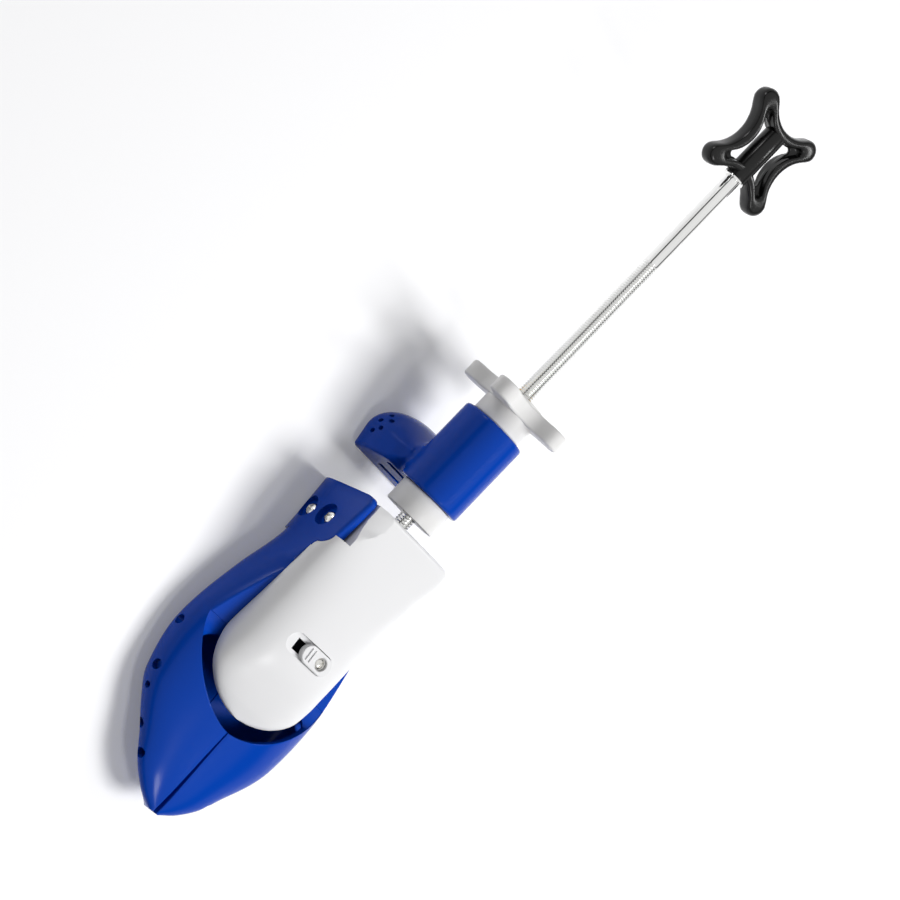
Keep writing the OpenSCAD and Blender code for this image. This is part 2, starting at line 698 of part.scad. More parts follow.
function heel_ring(z, t) =
    let (h = max(z, 0), w = heel_hw(h) - t, f = heel_fx(h) - t, b = heel_bx(h) + t,
        m = f - min(12, (f - b) * 0.4))
    concat([[f, -w + 3, z], [f, w - 3, z], [f - 0.9, w - 0.9, z]],
        [for (u = [0:12:180]) [m - (m - b) * sin(u), w * cos(u), z]],
        [[f - 0.9, -w + 0.9, z]]);
sleeve_r = 9;
module heel_body() {
    color(blue) in_row() difference() {
        union() {
            loft([for (z = [0, 1, 2.5, 5, 8, 11, 14, 17, 20, 23, 26, 29])
                heel_ring(z < 3 ? z : z + (axis_h - 43) * z / 29, 0)]);
            on_rod(-barrel_l) cylinder(d = barrel_d, h = barrel_l);
        }
        loft([for (z = [-1, 5, 10, 15]) heel_ring(z, 3)]);
        on_rod(-barrel_l - 20) cylinder(r = sleeve_r + fit_gap, h = barrel_l + 40);
        for (s = heel_slots) translate([heel_front - 9, -s[1], s[0]])
            cube([12, 2 * s[1], slot_h]);
        for (v = vents) translate([heel_back + 17, 0, v[1]]) rotate([90, 0, 0])
            rotate([0, 90 - v[0], 0]) cylinder(r = vent_r, h = 40);
    }
}

// Knob with its sleeve through the barrel, a threaded insert and the front collar.
end_gap = 0.2;
spigot_r = 7;
spigot_l = 7;
star_q = 8.8;
knob_back = star_q + knob_t + 0.8;
insert_l = 9;
module knob() {
    color(cream) in_row() difference() {
        union() {
            on_rod(end_gap) cylinder(d = hub_d, h = knob_back - end_gap);
            on_rod(star_q) rotate(knob_turn - 45) linear_extrude(knob_t)
                lobed((knob_r - 6) / sqrt(2), 6, hub_d / 2 + 0.6);
            on_rod(-barrel_l - end_gap) cylinder(r = sleeve_r, h = barrel_l + 2 * end_gap + 1);
            on_rod(-barrel_l - end_gap - spigot_l) cylinder(r = spigot_r, h = spigot_l + 1);
        }
        on_rod(-barrel_l - 20) cylinder(r = free_r, h = barrel_l + 60);
        on_rod(knob_back - insert_l) cylinder(r = 6.5, h = insert_l + 1);
    }
}

module knob_nut() {
    color(brass) in_row() rod_ring(knob_back - insert_l, insert_l, 6.5, bore_r);
}

module front_collar() {
    color(cream) in_row() difference() {
        on_rod(-barrel_l - end_gap - collar_l) cylinder(d = collar_d, h = collar_l);
        on_rod(-barrel_l - end_gap - spigot_l) cylinder(r = spigot_r, h = spigot_l + 1);
        on_rod(-barrel_l - collar_l - 5) cylinder(r = free_r, h = 30);
    }
}

core_block();
rod_nut();
hinge_pin_right();
hinge_pin_left();
hook_pin();
instep_plate();
half_right();
half_left();
hinge_leaf_right();
hinge_leaf_left();
ear_screw_right_top();
ear_screw_right_low();
ear_screw_left_top();
ear_screw_left_low();
cam_pin_right();
cam_pin_left();
cam_plate();
thrust_washer();
rod();
rod_clip();
handle();
handle_washer();
handle_nut();
latch_button();
latch_screw();
latch_bolt();
heel_body();
knob();
knob_nut();
front_collar();
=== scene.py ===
"""Looks of a two-way shoe stretcher: every surface that shows, its finish, the light and the view.

Sizes are written in millimetres from the rear end of the heel barrel, X to the toe, Y to the
left, Z up from the sole, and become metres in the frame's row by place().
"""

import logging
import math
from dataclasses import dataclass
from enum import Enum
from typing import Sequence

import bmesh
import bpy
from mathutils import Matrix, Vector
from mathutils.bvhtree import BVHTree


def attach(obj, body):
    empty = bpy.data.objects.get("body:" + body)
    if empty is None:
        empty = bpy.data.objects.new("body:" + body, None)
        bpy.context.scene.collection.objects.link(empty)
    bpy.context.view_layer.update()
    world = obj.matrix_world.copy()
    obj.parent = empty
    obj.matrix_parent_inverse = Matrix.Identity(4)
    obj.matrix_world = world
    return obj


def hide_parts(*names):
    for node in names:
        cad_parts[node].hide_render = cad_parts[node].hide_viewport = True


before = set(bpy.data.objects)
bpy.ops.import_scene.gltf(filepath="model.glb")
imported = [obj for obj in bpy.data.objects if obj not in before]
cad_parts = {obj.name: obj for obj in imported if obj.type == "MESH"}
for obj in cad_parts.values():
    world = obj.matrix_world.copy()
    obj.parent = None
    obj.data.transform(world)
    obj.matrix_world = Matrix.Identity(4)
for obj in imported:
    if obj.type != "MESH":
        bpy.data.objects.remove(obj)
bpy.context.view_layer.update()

log = logging.getLogger("stretcher")

MM = 0.001
TILT = math.radians(10.0)
AXIS_H = 43.0
HANDLE_Q = 169.2
LOBE_P = 16.9
LOBE_R = 5.0
RING_T = 9.0
TIP_X = 219.5
BARREL_L = 42.4
SCREW_X = 76.0
SCREW_ROWS = ((22.5, "top"), (7.5, "low"))
POCKET_X = 127.9
POCKET_FLOOR = 37.0
ROW_X = -(TIP_X - (HANDLE_Q + LOBE_P + LOBE_R) * math.cos(TILT) - RING_T / 2 * math.sin(TILT)) / 2

Pairs = Sequence[tuple[float, float]]


class Body(Enum):
    """The bodies that carry the pieces made here."""

    CORE = "core"
    RIGHT = "right_half"
    LEFT = "left_half"
    ROD = "rod"
    LATCH = "latch"
    HEEL = "heel"
    KNOB = "knob"


def place(x: float, y: float, z: float) -> Vector:
    """Turns millimetres from the barrel's rear end into metres in the row.

    Args:
        x: distance toward the toe.
        y: distance to the left.
        z: height over the sole.

    Returns:
        The point in metres.
    """
    return Vector(((x + ROW_X) * MM, y * MM, z * MM))


def up(z: float) -> Matrix:
    """Gives a move along local Z, in millimetres."""
    return Matrix.Translation(Vector((0.0, 0.0, z)))


def upright(x: float, y: float, z: float) -> Matrix:
    """Gives the place of a piece that stands upright, from millimetres to metres in the row."""
    return Matrix.Scale(MM, 4) @ Matrix.Translation(Vector((x + ROW_X, y, z)))


def aimed(x: float, y: float, z: float, turn: Matrix) -> Matrix:
    """Gives the place of a turned piece, from millimetres to metres in the row."""
    return Matrix.Translation(place(x, y, z)) @ turn @ Matrix.Scale(MM, 4)


def rod_matrix(q: float = 0.0) -> Matrix:
    """Gives the place q along the rod, with Z along the rod and X up from it."""
    return upright(0.0, 0.0, AXIS_H) @ Matrix.Rotation(TILT - math.pi / 2, 4, "Y") @ up(q)


def curve(table: Pairs, x: float) -> float:
    """Reads a smooth cubic curve through a table.

    Args:
        table: rows of place and value.
        x: the place to read.

    Returns:
        The value there.
    """
    last = len(table) - 1
    i = 0
    while i < last - 1 and x > table[i + 1][0]:
        i += 1

    def slope(k: int) -> float:
        """Slope of the curve at row k."""
        a, b = max(k - 1, 0), min(k + 1, last)
        return (table[b][1] - table[a][1]) / (table[b][0] - table[a][0])

    h = table[i + 1][0] - table[i][0]
    t = (x - table[i][0]) / h
    return (
        (2 * t**3 - 3 * t * t + 1) * table[i][1]
        + (t**3 - 2 * t * t + t) * slope(i) * h
        + (3 * t * t - 2 * t**3) * table[i + 1][1]
        + (t**3 - t * t) * slope(i + 1) * h
    )


def spread(lo: float, hi: float, count: int) -> list[float]:
    """Gives evenly spaced values, both ends included.

    Args:
        lo: first value.
        hi: last value.
        count: how many values.

    Returns:
        The values in order.
    """
    return [lo + (hi - lo) * i / (count - 1) for i in range(count)]


def smoothstep(lo: float, hi: float, value: float) -> float:
    """Eases from 0 at lo to 1 at hi."""
    t = min(1.0, max(0.0, (value - lo) / (hi - lo)))
    return t * t * (3 - 2 * t)


# Finishes


def preset(node: bpy.types.Node, values: dict[str, float | tuple[float, ...]]) -> None:
    """Sets inputs of a node, each by its name."""
    for name, value in values.items():
        node.inputs[name].default_value = value


class Grain(Enum):
    """Kinds of fine surface that a finish can have."""

    MOULDED = 1
    DRAWN = 2


@dataclass(frozen=True)
class Finish:
    """One finish: its colour, gloss and fine surface."""

    name: str
    color: tuple[float, float, float]
    roughness: float
    metallic: float = 0.0
    grain: Grain = Grain.MOULDED
    grain_size: float = 900.0
    bump: float = 0.02
    shift: float = 0.04
    shine: float = 0.5

    def build(self) -> bpy.types.Material:
        """Makes the material with its noise on object coordinates.

        Returns:
            The node-based material.
        """
        mat = bpy.data.materials.new(self.name)
        mat.use_nodes = True
        nodes, links = mat.node_tree.nodes, mat.node_tree.links
        shader = nodes["Principled BSDF"]
        preset(shader, {"Metallic": self.metallic, "Specular IOR Level": self.shine})
        where = nodes.new("ShaderNodeTexCoord")
        soft = nodes.new("ShaderNodeTexNoise")
        preset(soft, {"Scale": 35.0, "Detail": 3.0})
        links.new(where.outputs["Object"], soft.inputs["Vector"])
        tint = nodes.new("ShaderNodeMix")
        tint.data_type = "RGBA"
        dark = tuple(c * (1 - self.shift) for c in self.color)
        light = tuple(min(1.0, c * (1 + self.shift)) for c in self.color)
        preset(tint, {"A": (*dark, 1.0), "B": (*light, 1.0)})
        links.new(soft.outputs["Fac"], tint.inputs["Factor"])
        links.new(tint.outputs["Result"], shader.inputs["Base Color"])
        fine = nodes.new("ShaderNodeTexNoise")
        preset(fine, {"Scale": self.grain_size, "Detail": 2.0})
        stretch = nodes.new("ShaderNodeMapping")
        if self.grain is Grain.DRAWN:
            preset(stretch, {"Rotation": (0.0, TILT, 0.0), "Scale": (0.04, 1.0, 1.0)})
        links.new(where.outputs["Object"], stretch.inputs["Vector"])
        links.new(stretch.outputs["Vector"], fine.inputs["Vector"])
        worn = nodes.new("ShaderNodeMapRange")
        rough = min(1.0, self.roughness * 1.25)
        preset(worn, {"To Min": self.roughness * 0.8, "To Max": rough})
        links.new(soft.outputs["Fac"], worn.inputs["Value"])
        links.new(worn.outputs["Result"], shader.inputs["Roughness"])
        bump = nodes.new("ShaderNodeBump")
        preset(bump, {"Strength": self.bump, "Distance": 0.0002})
        links.new(fine.outputs["Fac"], bump.inputs["Height"])
        links.new(bump.outputs["Normal"], shader.inputs["Normal"])
        return mat


BLUE = Finish("blue_abs", (0.0005, 0.044, 0.36), 0.17, bump=0.03, shine=0.13)
WHITE = Finish("white_abs", (0.72, 0.72, 0.73), 0.32, bump=0.03, shift=0.01)
CREAM = Finish("cream_nylon", (0.70, 0.695, 0.69), 0.38, bump=0.05, shift=0.015)
BLACK = Finish("black_gloss", (0.005, 0.005, 0.005), 0.2, bump=0.02, shift=0.1, shine=0.3)
CORE_BLACK = Finish("filled_nylon", (0.03, 0.03, 0.032), 0.55, grain_size=2200.0, bump=0.12)
STEEL = Finish("plated_steel", (0.66, 0.66, 0.65), 0.22, metallic=1.0, grain_size=3000.0)
ROD_STEEL = Finish(
    "zinc_rod", (0.86, 0.86, 0.85), 0.1, metallic=1.0, grain=Grain.DRAWN, grain_size=2600.0
)
SCREW_STEEL = Finish("screw_plate", (0.78, 0.77, 0.74), 0.16, metallic=1.0, grain_size=3000.0)
BRASS = Finish("turned_brass", (0.70, 0.50, 0.20), 0.25, metallic=1.0, grain_size=2600.0)


@dataclass(frozen=True)
class Palette:
    """The materials, one for each finish, made once."""

    blue: bpy.types.Material
    white: bpy.types.Material
    cream: bpy.types.Material
    black: bpy.types.Material
    core: bpy.types.Material
    steel: bpy.types.Material
    rod: bpy.types.Material
    screw: bpy.types.Material
    brass: bpy.types.Material

    @staticmethod
    def make() -> "Palette":
        """Builds each finish once."""
        order = (BLUE, WHITE, CREAM, BLACK, CORE_BLACK, STEEL, ROD_STEEL, SCREW_STEEL, BRASS)
        return Palette(*[f.build() for f in order])


# Mesh tools


def new_object(name: str, bm: bmesh.types.BMesh) -> bpy.types.Object:
    """Turns a bmesh into an object at the origin, with its faces smooth.

    Args:
        name: the object's name.
        bm: the shape, in metres; it is freed.

    Returns:
        The linked object.
    """
    mesh = bpy.data.meshes.new(name)
    bm.to_mesh(mesh)
    bm.free()
    obj = bpy.data.objects.new(name, mesh)
    bpy.context.scene.collection.objects.link(obj)
    mesh.shade_smooth()
    return obj


def loft(rings: Sequence[Sequence[Vector]], caps: bool = True) -> bmesh.types.BMesh:
    """Skins closed rings, each extruded from the one before.

    Args:
        rings: rings with the same count of points.
        caps: whether the two ends are closed.

    Returns:
        The skinned shape.
    """
    bm = bmesh.new()
    order = bm.verts.layers.int.new("order")
    verts = []
    for k, point in enumerate(rings[0]):
        v = bm.verts.new(point)
        v[order] = k
        verts.append(v)
    edges = [bm.edges.new((verts[k], verts[(k + 1) % len(verts)])) for k in range(len(verts))]
    if caps:
        bmesh.ops.contextual_create(bm, geom=edges)
    for ring in rings[1:]:
        made = bmesh.ops.extrude_edge_only(bm, edges=edges)["geom"]
        fresh = {g for g in made if isinstance(g, bmesh.types.BMVert)}
        for v in fresh:
            v.co = ring[v[order]]
        edges = [
            g
            for g in made
            if isinstance(g, bmesh.types.BMEdge) and g.verts[0] in fresh and g.verts[1] in fresh
        ]
    if caps:
        bmesh.ops.contextual_create(bm, geom=edges)
    bmesh.ops.recalc_face_normals(bm, faces=bm.faces)
    return bm


def drawn(
    bm: bmesh.types.BMesh, profile: Pairs, closed: bool
) -> list[bmesh.types.BMVert | bmesh.types.BMEdge]:
    """Draws a profile of radius and height, as its points and edges.

    Args:
        bm: the shape that takes it up.
        profile: radius and height of each point.
        closed: whether its end is joined to its start.

    Returns:
        The points, then the edges.
    """
    verts = [bm.verts.new((r, 0.0, h)) for r, h in profile]
    pairs = list(zip(verts, verts[1:])) + ([(verts[-1], verts[0])] if closed else [])
    return verts + [bm.edges.new(pair) for pair in pairs]


def revolve(profile: Pairs, matrix: Matrix, steps: int) -> bmesh.types.BMesh:
    """Spins a profile round local Z.

    Args:
        profile: radius and height, in millimetres; it starts on the axis or is closed.
        matrix: from millimetres to metres in the row.
        steps: how many steps go round.

    Returns:
        The turned shape.
    """
    bm = bmesh.new()
    bmesh.ops.spin(
        bm, geom=drawn(bm, profile, profile[0][0] > 0), cent=(0, 0, 0), axis=(0, 0, 1),
        dvec=(0, 0, 0), angle=2 * math.pi, steps=steps, use_merge=True, use_duplicate=False,
    )
    bmesh.ops.remove_doubles(bm, verts=bm.verts, dist=1e-4)
    bmesh.ops.recalc_face_normals(bm, faces=bm.faces)
    bmesh.ops.transform(bm, matrix=matrix, verts=bm.verts)
    return bm


def turned(name: str, profile: Pairs, q: float, steps: int) -> bpy.types.Object:
    """Makes a piece that is turned about the rod, with crisp edges.

    Args:
        name: the piece's name.
        profile: radius and distance along the rod, in millimetres.
        q: where the profile's zero lies along the rod.
        steps: how many steps go round.

    Returns:
        The piece.
    """
    obj = new_object(name, revolve(profile, rod_matrix(q), steps))
    crisp(obj, 30.0)
    return obj


def rect(x0: float, x1: float, y0: float, y1: float) -> list[tuple[float, float]]:
    """Outlines a rectangle."""
    return [(x0, y0), (x1, y0), (x1, y1), (x0, y1)]


def prism(outline: Pairs, height: float, matrix: Matrix) -> bmesh.types.BMesh:
    """Extrudes a closed outline upward.

    Args:
        outline: points in x and y, in millimetres.
        height: how far it goes up, in millimetres.
        matrix: from millimetres to metres in the row.

    Returns:
        The closed shape.
    """
    bm = bmesh.new()
    verts = [bm.verts.new((x, y, 0.0)) for x, y in outline]
    face = bm.faces.new(verts)
    made = bmesh.ops.extrude_face_region(bm, geom=[face])["geom"]
    moved = [g for g in made if isinstance(g, bmesh.types.BMVert)]
    bmesh.ops.translate(bm, verts=moved, vec=(0.0, 0.0, height))
    bmesh.ops.transform(bm, matrix=matrix, verts=bm.verts)
    bmesh.ops.recalc_face_normals(bm, faces=bm.faces)
    return bm


def rod_hole(radius: float, length: float, matrix: Matrix, steps: int = 48) -> bmesh.types.BMesh:
    """Makes a plain round cutter along local Z.

    Args:
        radius: its radius, in millimetres.
        length: its length, in millimetres.
        matrix: from millimetres to metres in the row.
        steps: how many sides it has.

    Returns:
        The closed cutter.
    """
    bm = bmesh.new()
    bmesh.ops.create_cone(
        bm, cap_ends=True, cap_tris=False, segments=steps, radius1=radius, radius2=radius,
        depth=length,
    )
    bmesh.ops.translate(bm, verts=bm.verts, vec=(0.0, 0.0, length / 2))
    bmesh.ops.transform(bm, matrix=matrix, verts=bm.verts)
    return bm


def round_edges(
    bm: bmesh.types.BMesh, edges: Sequence[bmesh.types.BMEdge], width: float, segments: int
) -> None:
    """Rounds edges of a shape.

    Args:
        bm: the shape.
        edges: the edges that are rounded.
        width: width of the rounding, in the shape's unit.
        segments: steps across it.
    """
    bmesh.ops.bevel(
        bm, geom=edges, offset=width, offset_type="OFFSET", segments=segments, profile=0.5,
        affect="EDGES", material=-1, clamp_overlap=True,
    )


def discard(obj: bpy.types.Object) -> None:
    """Removes an object and its mesh."""
    mesh = obj.data
    bpy.data.objects.remove(obj)
    bpy.data.meshes.remove(mesh)


def settle(obj: bpy.types.Object) -> None:
    """Applies an object's modifiers to its mesh.

    Args:
        obj: the object, whose modifiers are cleared.
    """
    graph = bpy.context.evaluated_depsgraph_get()
    mesh = bpy.data.meshes.new_from_object(obj.evaluated_get(graph))
    old = obj.data
    obj.modifiers.clear()
    obj.data = mesh
    bpy.data.meshes.remove(old)


def combine(
    obj: bpy.types.Object, shapes: Sequence[bmesh.types.BMesh], operation: str = "DIFFERENCE"
) -> None:
    """Cuts shapes from an object, or joins them to it.

    Args:
        obj: the object that changes.
        shapes: closed shapes in metres; they are freed.
        operation: DIFFERENCE or UNION, or INTERSECT to keep what both have.
    """
    tools = []
    for k, shape in enumerate(shapes):
        tool = new_object(f"tool_{k}", shape)
        mod = obj.modifiers.new(f"tool_{k}", "BOOLEAN")
        mod.operation = operation
        mod.solver = "EXACT"
        mod.object = tool
        tools.append(tool)
    settle(obj)
    for tool in tools:
        discard(tool)


def soften(obj: bpy.types.Object, width: float, segments: int, angle: float) -> None:
    """Rounds the sharp edges of an object by a bevel modifier, and keeps its flats flat.

    Args:
        obj: the object.
        width: width of the rounding, in millimetres.
        segments: steps across it.
        angle: edges sharper than this are rounded, in degrees.
    """
    mod = obj.modifiers.new("edge", "BEVEL")
    mod.width = width * MM
    mod.segments = segments
    mod.limit_method = "ANGLE"
    mod.angle_limit = math.radians(angle)
    mod.use_clamp_overlap = True
    mod.harden_normals = True
    mod.miter_outer = "MITER_ARC"


def crisp(obj: bpy.types.Object, angle: float) -> None:
    """Shades an object smooth but for its sharp edges.

    Args:
        obj: the object.
        angle: edges sharper than this stay sharp, in degrees.
    """
    obj.data.shade_smooth()
    obj.data.set_sharp_from_angle(angle=math.radians(angle))


def dress(
    obj: bpy.types.Object,
    material: bpy.types.Material,
    body: Body,
    nodes: Sequence[str] = (),
) -> None:
    """Gives a piece its material, its body and the nodes that it stands for.

    Args:
        obj: the piece.
        material: its material.
        body: the body that it rides on.
        nodes: the solids that it replaces.
    """
    obj.data.materials.clear()
    obj.data.materials.append(material)
    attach(obj, body.value)
    if nodes:
        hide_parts(*nodes)
    log.info("%s: %d faces on %s", obj.name, len(obj.data.polygons), body.value)


def lobed(p: float, r: float, w: float, count: int) -> list[tuple[float, float]]:
    """Outlines a square with four round lobes and hollow sides.

    Args:
        p: distance of the lobe centres from both axes.
        r: radius of the lobes.
        w: distance from the middle to the hollow of each side.
        count: points for each quarter.

    Returns:
        The outline, read at even steps of the angle.
    """
    far = (2 * p * p - (w - r) * (w - r)) / (2 * (p - (w - r)))
    side = far - w
    points = []
    for k in range(4 * count):
        a = 2 * math.pi * k / (4 * count)
        b = (a + math.pi / 4) % (math.pi / 2) - math.pi / 4
        # along the ray, first the hollow side's circle, centred at (far, 0)
        root = side * side - (far * math.sin(b)) ** 2
        reach = far * math.cos(b) - math.sqrt(root) if root > 0 else 1e9
        lobe = p * math.sqrt(2)
        c = abs(b) - math.pi / 4
        tip = r * r - (lobe * math.sin(c)) ** 2
        lobe_reach = lobe * math.cos(c) + math.sqrt(tip) if tip > 0 else 0.0
        inner = lobe * math.cos(c) - math.sqrt(tip) if tip > 0 else 1e9
        reach = lobe_reach if reach > inner - 1e-6 and lobe_reach > 0 else reach
        points.append((reach * math.cos(a), reach * math.sin(a)))
    return points


# Toe form


@dataclass
class ToeForm:
    """The two moulded halves of the toe form."""

    start: float = 60.0
    length: float = 159.5
    width: float = 88.0
    height: float = 47.0
    wall: float = 3.0
    sole_round: float = 10.0
    gap: float = 0.25
    gap_more: float = 0.75
    gap_from: float = 0.718
    square: float = 7.0
    square_end: float = 84.0
    oval_start: float = 104.0
    shelf_h: float = 30.7
    shelf_at: float = 30.0
    shelf_fall: float = 0.245
    shelf_t: float = 2.5
    shelf_end: float = 139.3
    shelf_edge: float = 0.5
    deck_in: float = 21.0
    ear_in: float = 22.4
    ear_out: float = 26.6
    ear_l: float = 28.5
    ear_top: float = 43.0
    ear_fall: float = 0.19
    ear_r0: float = 4.0
    ear_r1: float = 5.5
    ear_round: float = 1.6
    ear_lip: float = 0.7
    foot_r: float = 2.6
    arch_hw: float = 40.0
    arch_l: float = 35.2
    arch_e: float = 1.7
    arch_edge: float = 0.45
    ledge_l: float = 13.0
    plug_d: float = 4.8
    plug_l: float = 5.0
    recess_d: float = 11.4
    recess_h: float = 2.6
    solid_l: float = 14.0
    side_n: int = 30
    foot_n: int = 16
    in_side_n: int = 12
    in_foot_n: int = 7
    round_n: int = 5
    lip_n: int = 3

    PLAN = (
        (0, 0.61), (0.19, 0.66), (0.345, 0.84), (0.495, 0.977), (0.596, 1), (0.718, 0.92),
        (0.784, 0.807), (0.859, 0.614), (0.922, 0.455), (0.972, 0.25), (1, 0.07),
    )
    CROWN = (
        (0, 1), (0.19, 0.936), (0.345, 0.81), (0.495, 0.691), (0.596, 0.643), (0.718, 0.583),
        (0.784, 0.553), (0.922, 0.5), (1, 0.457),
    )
    FLANK = (
        (0, 0.255), (0.19, 0.255), (0.495, 0.213), (0.596, 0.191), (0.718, 0.234),
        (0.859, 0.319), (1, 0.404),
    )
    SOLE = ((0, 0), (0.3, 0), (0.6, 0), (0.715, 0), (0.796, 0.119), (0.915, 0.242), (1, 0.3))
    PLUGS = ((90, 10, 1), (111, 13, 1), (120, 13, 0.65), (134, 13.5, 1), (144, 17, 1))

    def share(self, x: float) -> float:
        """Share of the form's length at x."""
        return (x - self.start) / self.length

    def half_w(self, x: float) -> float:
        """Half width at x."""
        return self.width / 2 * curve(self.PLAN, self.share(x))

    def crown(self, x: float) -> float:
        """Height of the crown at x."""
        return self.height * curve(self.CROWN, self.share(x))

    def flank(self, x: float) -> float:
        """Height of the widest line at x."""
        return self.height * curve(self.FLANK, self.share(x))

    def sole(self, x: float) -> float:
        """Height of the sole at x."""
        return max(0.0, self.height * curve(self.SOLE, self.share(x)))

    def corner(self, x: float) -> float:
        """How square the section is at x: 2 is an ellipse."""
        share = min(1.0, max(0.0, (x - self.square_end) / (self.oval_start - self.square_end)))
        return self.square - (self.square - 2.0) * share

    def seam(self, x: float) -> float:
        """Half of the gap between the halves at x."""
        share = max(0.0, self.share(x) - self.gap_from) / (1 - self.gap_from)
        return self.gap + share * self.gap_more

    def shelf(self, x: float) -> float:
        """Height of the shelf under the instep plate at x."""
        return self.shelf_h - self.shelf_fall * (x - self.start - self.shelf_at)

    def ear_z(self, d: float) -> float:
        """Height of the ear's rim.

        Args:
            d: distance from the form's rear face.

        Returns:
            The height over the sole.
        """
        rear, front = self.ear_r0, self.ear_r1
        z = self.ear_top - self.ear_fall * d
        if d < rear:
            z -= rear - math.sqrt(max(0.0, 2 * rear * d - d * d))
        if d > self.ear_l - front:
            z -= front - math.sqrt(max(0.0, front * front - (d - self.ear_l + front) ** 2))
        return z

    def arch_y(self, x: float) -> float:
        """Half width of the arched opening at x."""
        t = min(1.0, max(0.0, (x - self.shelf_end) / self.arch_l))
        return max(self.seam(x), self.arch_hw * max(0.0, 1 - t**self.arch_e) ** (1 / self.arch_e))

    def skin_z(self, x: float, y: float, t: float) -> float:
        """Height of the skin.

        Args:
            x: the station.
            y: distance from the middle.
            t: distance inside the outer skin.

        Returns:
            The height over the sole.
        """
        w, n = self.half_w(x) - t, self.corner(x)
        rise = self.crown(x) - t - self.flank(x)
        return self.flank(x) + rise * max(0.0, 1 - min(1.0, y / w) ** n) ** (1 / n)

    def skin_y(self, x: float, z: float, t: float) -> float:
        """Place of the skin above the widest line.

        Args:
            x: the station.
            z: height over the sole.
            t: distance inside the outer skin.

        Returns:
            The distance from the middle.
        """
        w, n = self.half_w(x) - t, self.corner(x)
        s = max(0.0, min(1.0, (z - self.flank(x)) / (self.crown(x) - t - self.flank(x))))
        return w * (1 - s**n) ** (1 / n)

    def foot_path(self, x: float, t: float, inner: float, count: int) -> list[Vector]:
        """Goes from the inner edge of the sole round to the widest line.

        Args:
            x: the station.
            t: distance inside the outer skin.
            inner: where the sole starts.
            count: points on the round.

        Returns:
            The points in order.
        """
        w, zb, zm = self.half_w(x) - t, self.sole(x) + t, self.flank(x)
        a = max(0.5, min(self.sole_round, w - inner - 0.5))
        path = [place(x, inner, zb)]
        for u in spread(0.0, math.pi / 2, count):
            path.append(place(x, w - a + a * math.sin(u), zm - (zm - zb) * math.cos(u)))
        return path

    def flank_path(self, x: float, t: float, y1: float, count: int) -> list[Vector]:
        """Goes from the widest line up and over to y1.

        Args:
            x: the station.
            t: distance inside the outer skin.
            y1: where the path ends.
            count: points on it.

        Returns:
            The points in order.
        """
        w, n = self.half_w(x) - t, self.corner(x)
        u1 = math.acos(min(1.0, max(0.0, y1 / w) ** (n / 2)))
        path = []
        for i in range(1, count + 1):
            y = w * math.cos(u1 * i / count) ** (2 / n)
            path.append(place(x, y, self.skin_z(x, y, t)))
        return path

    def outer_path(self, x: float, y1: float) -> list[Vector]:
        """Goes outside from the seam round the sole and the flank to y1."""
        sole = self.foot_path(x, 0.0, self.seam(x), self.foot_n)
        return sole + self.flank_path(x, 0.0, y1, self.side_n)

    def inner_path(self, x: float, y1: float) -> list[Vector]:
        """Goes inside the wall from y1 back to the seam."""
        side = self.flank_path(x, self.wall, y1, self.in_side_n)[::-1]
        return side + self.foot_path(x, self.wall, self.seam(x), self.in_foot_n)[::-1]

    @property
    def inner_n(self) -> int:
        """Points on the inner line where a ring is solid: those of inner_path and four more."""
        return self.in_side_n + self.in_foot_n + 1 + 4

    def ear_ring(self, x: float, tall: bool) -> list[Vector]:
        """Ring through the ear.

        Args:
            x: the station.
            tall: whether the ear stands up; if not, the ring ends at the shelf.

        Returns:
            The ring's points.
        """
        zt = self.ear_z(x - self.start) if tall else self.shelf(x)
        r, lip = self.ear_round, self.ear_lip
        w = self.skin_y(x, min(zt - r, self.crown(x) - 6), 0.0)
        ring = self.foot_path(x, 0.0, self.ear_in, self.foot_n)
        flats = self.side_n - self.round_n
        for i in range(1, flats + 1):
            z = self.flank(x) + (zt - r - self.flank(x)) * i / flats
            ring.append(place(x, min(self.half_w(x), w + 0.02 * (flats - i)), z))
        for u in spread(math.pi / 2 / self.round_n, math.pi / 2, self.round_n):
            ring.append(place(x, w - r * (1 - math.cos(u)), zt - r * (1 - math.sin(u))))
        for u in spread(0.0, math.pi / 2, self.lip_n):
            y = self.ear_in + lip * (1 - math.sin(u))
            ring.append(place(x, y, zt - lip * (1 - math.cos(u))))
        left = self.inner_n - self.lip_n
        for i in range(1, left + 1):
            z = zt - lip + (self.sole(x) + 0.5 - zt + lip) * i / (left + 1)
            ring.append(place(x, self.ear_in, z))
        return ring

    def shelf_ring(self, x: float) -> list[Vector]:
        """Ring through the shelf, with the hollow at the foot of the ear.

        Args:
            x: the station.

        Returns:
            The ring's points.
        """
        lift = max(0.0, self.foot_r - (x - self.start - self.ear_l))
        rise = self.foot_r - math.sqrt(max(0.0, self.foot_r**2 - lift**2))
        zs = self.shelf(x) + 0.55 * rise
        zi, e = zs - self.shelf_t, self.shelf_edge
        yr = self.skin_y(x, zs, 0.0)
        top = [
            place(x, yr - 0.3 * e, zs - 0.15 * e), place(x, yr - e, zs),
            place(x, self.deck_in, zs), place(x, self.deck_in, zi),
        ]
        outer = self.outer_path(x, self.skin_y(x, zs - e, 0.0))
        return outer + top + self.inner_path(x, self.skin_y(x, zi, self.wall))

